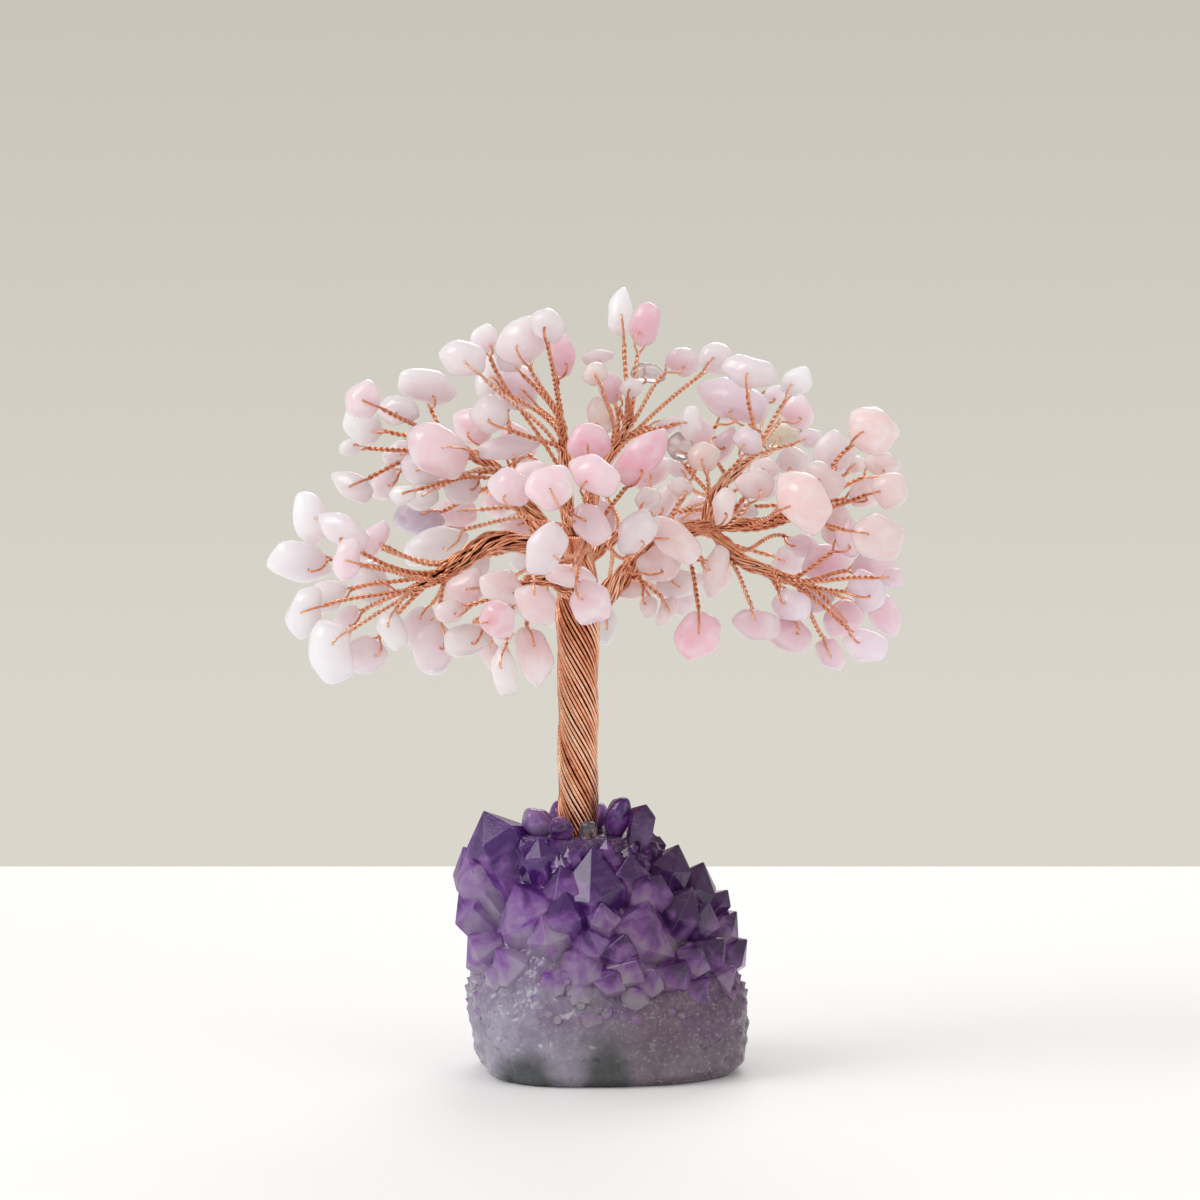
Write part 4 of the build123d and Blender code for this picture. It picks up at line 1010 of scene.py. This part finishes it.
@dataclass
class Cluster:
    """The amethyst: a massive broken foot and a crown of six-sided points."""

    width: float = 62.0
    depth: float = 48.0
    height: float = 48.0
    columns: int = 260
    rows: int = 110
    body_shares: tuple = (
        (0.00, -0.29, 0.50, 0.45, 0.42),
        (0.05, -0.32, 0.535, 0.49, 0.46),
        (0.28, -0.36, 0.55, 0.50, 0.48),
        (0.42, -0.33, 0.50, 0.44, 0.43),
        (0.60, -0.26, 0.41, 0.34, 0.34),
        (0.85, -0.21, 0.29, 0.25, 0.27),
        (1.00, -0.185, 0.20, 0.215, 0.225),
    )
    crown_shares: tuple = (
        (0.30, -0.39, 0.57, 0.52, 0.50),
        (0.54, -0.40, 0.55, 0.48, 0.48),
        (0.80, -0.37, 0.45, 0.38, 0.42),
        (1.00, -0.28, 0.33, 0.27, 0.30),
        (1.10, -0.25, 0.30, 0.20, 0.22),
    )
    points_px: tuple = (
        (481, 811, 65), (459, 850, 50), (456, 893, 48), (536, 836, 38), (583, 849, 76), (632, 854, 34),
        (677, 845, 42), (707, 864, 46), (727, 890, 26), (739, 914, 34), (749, 943, 36), (655, 902, 72),
        (560, 889, 52), (590, 926, 40), (513, 886, 64), (603, 903, 34), (495, 951, 52), (577, 952, 46),
        (632, 955, 42), (466, 934, 48), (545, 973, 34), (612, 968, 36), (655, 970, 34), (684, 962, 38),
        (704, 949, 36), (722, 938, 40), (645, 803, 24), (655, 872, 44), (690, 888, 48), (712, 903, 40),
        (560, 866, 44), (541, 916, 44), (620, 932, 40), (487, 968, 32), (578, 984, 30), (640, 990, 32),
        (707, 980, 36), (738, 970, 38),
    )
    heart_shares: tuple = (0.08, 0.0, 0.12)
    sink_share: float = 0.62
    tip_share: float = 0.85
    shoulder_share: float = 0.22
    back_radius: float = 4.2
    point_swell: float = 1.12
    clear: float = 0.38
    druse: int = 520
    moss_spots: tuple = (((-10.0, -19.0, 0.0), (6.5, 8.0, 7.0)), ((6.0, -22.0, 0.0), (4.6, 8.0, 10.5)))

    def reaches(self, shares: tuple, height_share: np.ndarray) -> np.ndarray:
        """Left, right, front and back reach at shares of the height, in millimetres.

        Args:
            shares: table of height share and four reaches.
            height_share: array of any shape.

        Returns:
            Array (4, ...).
        """
        heights, *columns = np.array(shares).T
        sizes = (self.width, self.width, self.depth, self.depth)
        return np.stack([size * np.interp(height_share, heights, column) for size, column in zip(sizes, columns)])

    def matrix(self) -> Surface:
        """The massive foot: rounded rings that follow the reaches, roughened by noise along their radius.

        Returns:
            Surface with values "zone", from violet at the top to grey at the foot, and "moss".
        """
        share = np.linspace(0, 1, self.rows)[:, None]
        angle = 2 * np.pi * np.arange(self.columns)[None, :] / self.columns
        left, right, front, back = self.reaches(self.body_shares, share)
        wide = np.sign(np.cos(angle)) * np.abs(np.cos(angle)) ** 0.85
        deep = np.sign(np.sin(angle)) * np.abs(np.sin(angle)) ** 0.85
        flat = np.stack((np.where(wide > 0, right, -left) * wide, np.where(deep > 0, back, front) * deep), axis=-1)
        points = np.concatenate((flat, np.broadcast_to(self.height * share[..., None], (*flat.shape[:2], 1))), axis=-1)
        rough = 0.5 * waves(points, 9, 1) + 0.26 * waves(points, 4, 2) + 0.1 * np.abs(waves(points, 1.8, 3))
        points[..., :2] *= 1 + (rough * np.minimum(share * 12 + 0.35, 1) / np.linalg.norm(flat, axis=-1))[..., None]
        zone = self.zone(points) - 0.08
        near = [np.exp(-np.sum(((points - middle) / reach) ** 2, axis=-1)) for middle, reach in self.moss_spots]
        ends = np.array(((2, 0, 0), (0, 0, self.height)), float)
        index = np.arange(self.rows * self.columns).reshape(self.rows, self.columns)
        ahead = np.roll(index, -1, axis=1)
        walls = np.stack((index[:-1], ahead[:-1], ahead[1:], index[1:]), axis=-1).reshape(-1, 4)
        low = np.stack((np.full(self.columns, index.size), ahead[0], index[0]), axis=-1)
        high = np.stack((np.full(self.columns, index.size + 1), index[-1], ahead[-1]), axis=-1)
        values = {"zone": zone, "flank": self.flank(points), "moss": np.clip(2.0 * sum(near) - 0.35, 0, 0.9)}
        values = {key: np.append(value.ravel(), (0, 0)) for key, value in values.items()}
        return Surface(np.concatenate((points.reshape(-1, 3), ends)) * MM, [walls, low, high], values)

    def zone(self, points: np.ndarray) -> np.ndarray:
        """Place in the run of colours: violet at the top, pale grey at the foot, and lower down on the right.

        Args:
            points: array (..., 3) in millimetres.

        Returns:
            Array (...), about 0 to 1.
        """
        across = np.clip(points[..., 0] / 28, -1, 1)
        return 1.0 - 0.12 * across - np.clip((points[..., 2] - 6 + 3 * across) / 34, 0, 1)

    def flank(self, points: np.ndarray) -> np.ndarray:
        """Share of the plum run of colours, which is also darker as painted shade: none on the left, all on the right.

        Args:
            points: array (..., 3) in millimetres.

        Returns:
            Array (...) from 0 to 1.
        """
        return np.clip(0.5 + (points[..., 0] - 2) / 26, 0, 1)

    def crown(self) -> tuple[np.ndarray, np.ndarray, np.ndarray]:
        """The large points: those of the photograph, and the widest again at the back, as the solids have them.

        Returns:
            Tips (n, 3) and radii (n) in millimetres, and the numbers (n) that fix their turns.
        """
        column, row, width = np.array(self.points_px, float).T
        wide = (column - TRUNK_COLUMN_PX) * self.width / (753 - 444)
        high = (GROUND_ROW_PX - row) * self.height / (GROUND_ROW_PX - 831)
        radii = self.point_swell * width / 2 * self.width / (753 - 444)
        deep = np.zeros(len(wide))
        for _ in range(3):
            height = (high - deep * np.sin(VIEW_TILT)) / np.cos(VIEW_TILT)
            left, right, front, back = self.reaches(self.crown_shares, height / self.height)
            middle, half = (left + right) / 2, (right - left) / 2
            room = np.sqrt(np.maximum(1 - ((wide - middle) / half) ** 2, 0))
            deep = -front * room
        tips = np.stack((wide, deep, height), axis=-1)
        again = (room > 0.3) & (radii > self.back_radius)
        behind = np.stack((2 * middle - wide, -deep * back / front, height), axis=-1)
        number = np.arange(len(wide)) + np.cumsum(again) - again
        return np.concatenate((tips, behind[again])), np.append(radii, radii[again]), np.append(number, number[again] + 1)

    def crust(self) -> tuple[np.ndarray, np.ndarray, np.ndarray]:
        """Small points that cover the rock between the large ones, spread evenly round it.

        Returns:
            Tips, radii and numbers, as those of the crown.
        """
        rng = np.random.default_rng(11)
        share = np.where(np.arange(self.druse) % 6 == 0, 0.93, 0.29 + 0.71 * rng.uniform(0, 1, self.druse) ** 1.3)
        angle = 2 * np.pi * (np.arange(self.druse) * 0.618 % 1)
        outward = np.array((-1, 1, 1, 1))[:, None] * rng.uniform(0.4, 2.0, self.druse)
        left, right, front, back = self.reaches(self.body_shares, share) + outward
        wide = np.where(np.cos(angle) > 0, right, -left) * np.cos(angle)
        deep = np.where(np.sin(angle) > 0, back, front) * np.sin(angle)
        tips = np.stack((wide, deep, share * self.height + np.where(share > 0.85, rng.uniform(0, 3, self.druse), 0)), axis=-1)
        return tips, rng.uniform(0.9, 2.3, self.druse), 200 + np.arange(self.druse)

    def points(self, tips: np.ndarray, radii: np.ndarray, number: np.ndarray) -> Surface:
        """Six-sided points: a prism along the line from the stone's heart, closed by a pyramid with uneven shoulders.

        Args:
            tips: array (n, 3) in millimetres.
            radii: array (n) in millimetres.
            number: array (n) that fixes their turns.

        Returns:
            Surface with values "zone", "flank" and "clear".
        """
        heart = np.array(self.heart_shares) * (self.width, self.depth, self.height)
        axis = unit(tips - heart)
        level = unit(np.cross((0, 0, 1), axis))
        turn = (np.pi * (np.arange(6) + jitter(number[:, None], 2)) / 3)[..., None]
        ring = np.cos(turn) * level[:, None] + np.sin(turn) * np.cross(axis, level)[:, None]
        drop = radii[:, None] * (self.tip_share + self.shoulder_share * jitter(number[:, None] + 3 * np.arange(6), 5))
        sink = self.sink_share * np.linalg.norm(tips - heart, axis=1)[:, None]
        shoulder = tips[:, None] - drop[..., None] * axis[:, None] + radii[:, None, None] * ring
        foot = tips[:, None] - sink[..., None] * axis[:, None] + radii[:, None, None] * ring
        aside = jitter(number[:, None], 7) * ring[:, 0] + jitter(number[:, None], 8) * ring[:, 2]
        points = np.concatenate((foot, shoulder, (tips + self.shoulder_share * radii[:, None] * aside)[:, None]), axis=1)
        index = np.arange(points[..., 0].size).reshape(len(tips), 13)
        low, high = index[:, :6], index[:, 6:12]
        walls = np.stack((low, np.roll(low, -1, 1), np.roll(high, -1, 1), high), axis=-1).reshape(-1, 4)
        slopes = np.stack((high, np.roll(high, -1, 1), np.repeat(index[:, 12:], 6, axis=1)), axis=-1).reshape(-1, 3)
        depth = np.concatenate((np.full(6, 0.14), np.full(6, 0.1), [-0.2]))
        zone = self.zone(points) + depth + 0.24 * jitter(number[:, None], 3)
        values = {"zone": zone.ravel(), "flank": self.flank(points).ravel(), "clear": np.full(zone.size, self.clear)}
        return Surface(points.reshape(-1, 3) * MM, [walls, slopes, low[:, ::-1]], values)

    def build(self) -> None:
        """Makes the foot, the small points and the crown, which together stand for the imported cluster."""
        nodes = ("amethyst_cluster",)
        make_piece("amethyst_matrix", self.matrix(), MATRIX, ROOT_BODY, nodes)
        make_piece("amethyst_druse", self.points(*self.crust()), AMETHYST, ROOT_BODY, nodes, False)
        crown = make_piece("amethyst_points", self.points(*self.crown()), AMETHYST, ROOT_BODY, nodes, False)
        edges = crown.modifiers.new("worn_edges", "BEVEL")
        edges.width = 0.12 * MM
        edges.segments = 2
        edges.limit_method = "ANGLE"
        edges.angle_limit = np.radians(15)


@dataclass
class Studio:
    """A pale floor, a soft key light from the upper left, a weak fill and a camera at the photograph's angle."""

    distance: float = 2.4
    frame_width: float = 0.24
    # Backdrop colours low and high: the darker upper one is painted shade.
    backdrop: tuple[str, str] = ("#dad6cc", "#c9c5b9")
    key_watts: float = 4.4
    fill_watts: float = 1.6
    rim_watts: float = 3.0
    world_strength: float = 0.66

    def floor(self) -> None:
        """A flat pale sheet that ends behind the object, as the table does."""
        mesh = bpy.data.meshes.new("floor")
        mesh.from_pydata([(-0.9, -0.9, 0), (0.9, -0.9, 0), (0.9, 0.252, 0), (-0.9, 0.252, 0)], [], [(0, 1, 2, 3)])
        mesh.materials.append(BOARD.material())
        board = bpy.data.objects.new("floor", mesh)
        bpy.context.scene.collection.objects.link(board)

    def lamp(self, name: str, place: tuple, watts: float, size: float) -> None:
        """A square soft light that looks at the crown.

        Args:
            name: name of the light.
            place: its place in metres.
            watts: its power.
            size: its edge in metres.
        """
        light = bpy.data.lights.new(name, "AREA")
        light.energy = watts
        light.size = size
        lamp = bpy.data.objects.new(name, light)
        bpy.context.scene.collection.objects.link(lamp)
        lamp.location = place
        aim = unit(np.array((0.0, 0.0, 0.08)) - np.array(place))
        lamp.rotation_euler = (np.arccos(-aim[2]), 0, np.arctan2(-aim[0], aim[1]))

    def world(self) -> None:
        """Even white light, behind which camera, glossy and transmitted rays see the pale backdrop, darker towards the
        top as painted shade.
        """
        world = bpy.data.worlds.new("studio")
        bpy.context.scene.world = world
        world.use_nodes = True
        tree = world.node_tree
        tree.nodes.clear()
        path = add_node(tree, "ShaderNodeLightPath")
        direct = add_node(tree, "ShaderNodeMath", {0: path.outputs["Is Camera Ray"], 1: path.outputs["Is Glossy Ray"]}, operation="MAXIMUM")
        seen = add_node(tree, "ShaderNodeMath", {0: direct.outputs[0], 1: path.outputs["Is Transmission Ray"]}, operation="MAXIMUM")
        light = add_node(tree, "ShaderNodeBackground", {"Color": linear("#ffffff"), "Strength": self.world_strength})
        way = add_node(tree, "ShaderNodeSeparateXYZ", {0: add_node(tree, "ShaderNodeTexCoord").outputs["Generated"]})
        # The backdrop darkens towards the top of the frame: painted shade.
        rise = add_node(tree, "ShaderNodeMapRange", {"Value": way.outputs["Z"], "From Min": -0.15, "From Max": -0.09})
        colour = ramp(tree, rise.outputs["Result"], ((0.0, self.backdrop[0]), (1.0, self.backdrop[1])))
        shown = add_node(tree, "ShaderNodeBackground", {"Color": colour, "Strength": 1.0})
        mix = add_node(tree, "ShaderNodeMixShader", {0: seen.outputs[0], 1: light.outputs[0], 2: shown.outputs[0]})
        add_node(tree, "ShaderNodeOutputWorld", {"Surface": mix.outputs[0]})

    def camera(self) -> None:
        """A long lens at the photograph's low angle, aimed so that the trunk stands at its column."""
        half = IMAGE_PX / 2
        high = (GROUND_ROW_PX - half) * PIXEL / np.cos(VIEW_TILT)
        target = np.array(((half - TRUNK_COLUMN_PX) * PIXEL, 0, high))
        data = bpy.data.cameras.new("camera")
        data.sensor_width = 36
        data.lens = data.sensor_width * self.distance / self.frame_width
        camera = bpy.data.objects.new("camera", data)
        bpy.context.scene.collection.objects.link(camera)
        camera.location = target + self.distance * np.array((0, -np.cos(VIEW_TILT), np.sin(VIEW_TILT)))
        camera.rotation_euler = (np.pi / 2 - VIEW_TILT, 0, 0)
        bpy.context.scene.camera = camera

    def build(self) -> None:
        """Sets up floor, lights, world and camera."""
        self.floor()
        self.lamp("key", (-0.75, -0.3, 0.8), self.key_watts, 0.6)
        self.lamp("fill", (0.9, -0.7, 0.5), self.fill_watts, 0.8)
        self.lamp("rim", (0.2, 0.9, 0.75), self.rim_watts, 0.6)
        self.world()
        self.camera()
        bpy.context.scene.view_settings.view_transform = "Standard"


def main() -> None:
    """Builds all pieces, dresses the glue node that stays, and sets up the studio."""
    logging.basicConfig(level=logging.INFO, format="%(name)s %(message)s")
    Cluster().build()
    FootStones().build()
    Trunk().build()
    for branch in Branch:
        Spray(branch).build()
        LeafStones(branch=branch, **SNUG.get(branch, {})).build()
    PendantStone().build()
    glue = frame["nodes"]["socket_glue"]
    glue.data.materials.clear()
    glue.data.materials.append(RESIN.material())
    Studio().build()


if __name__ == "__main__":
    main()
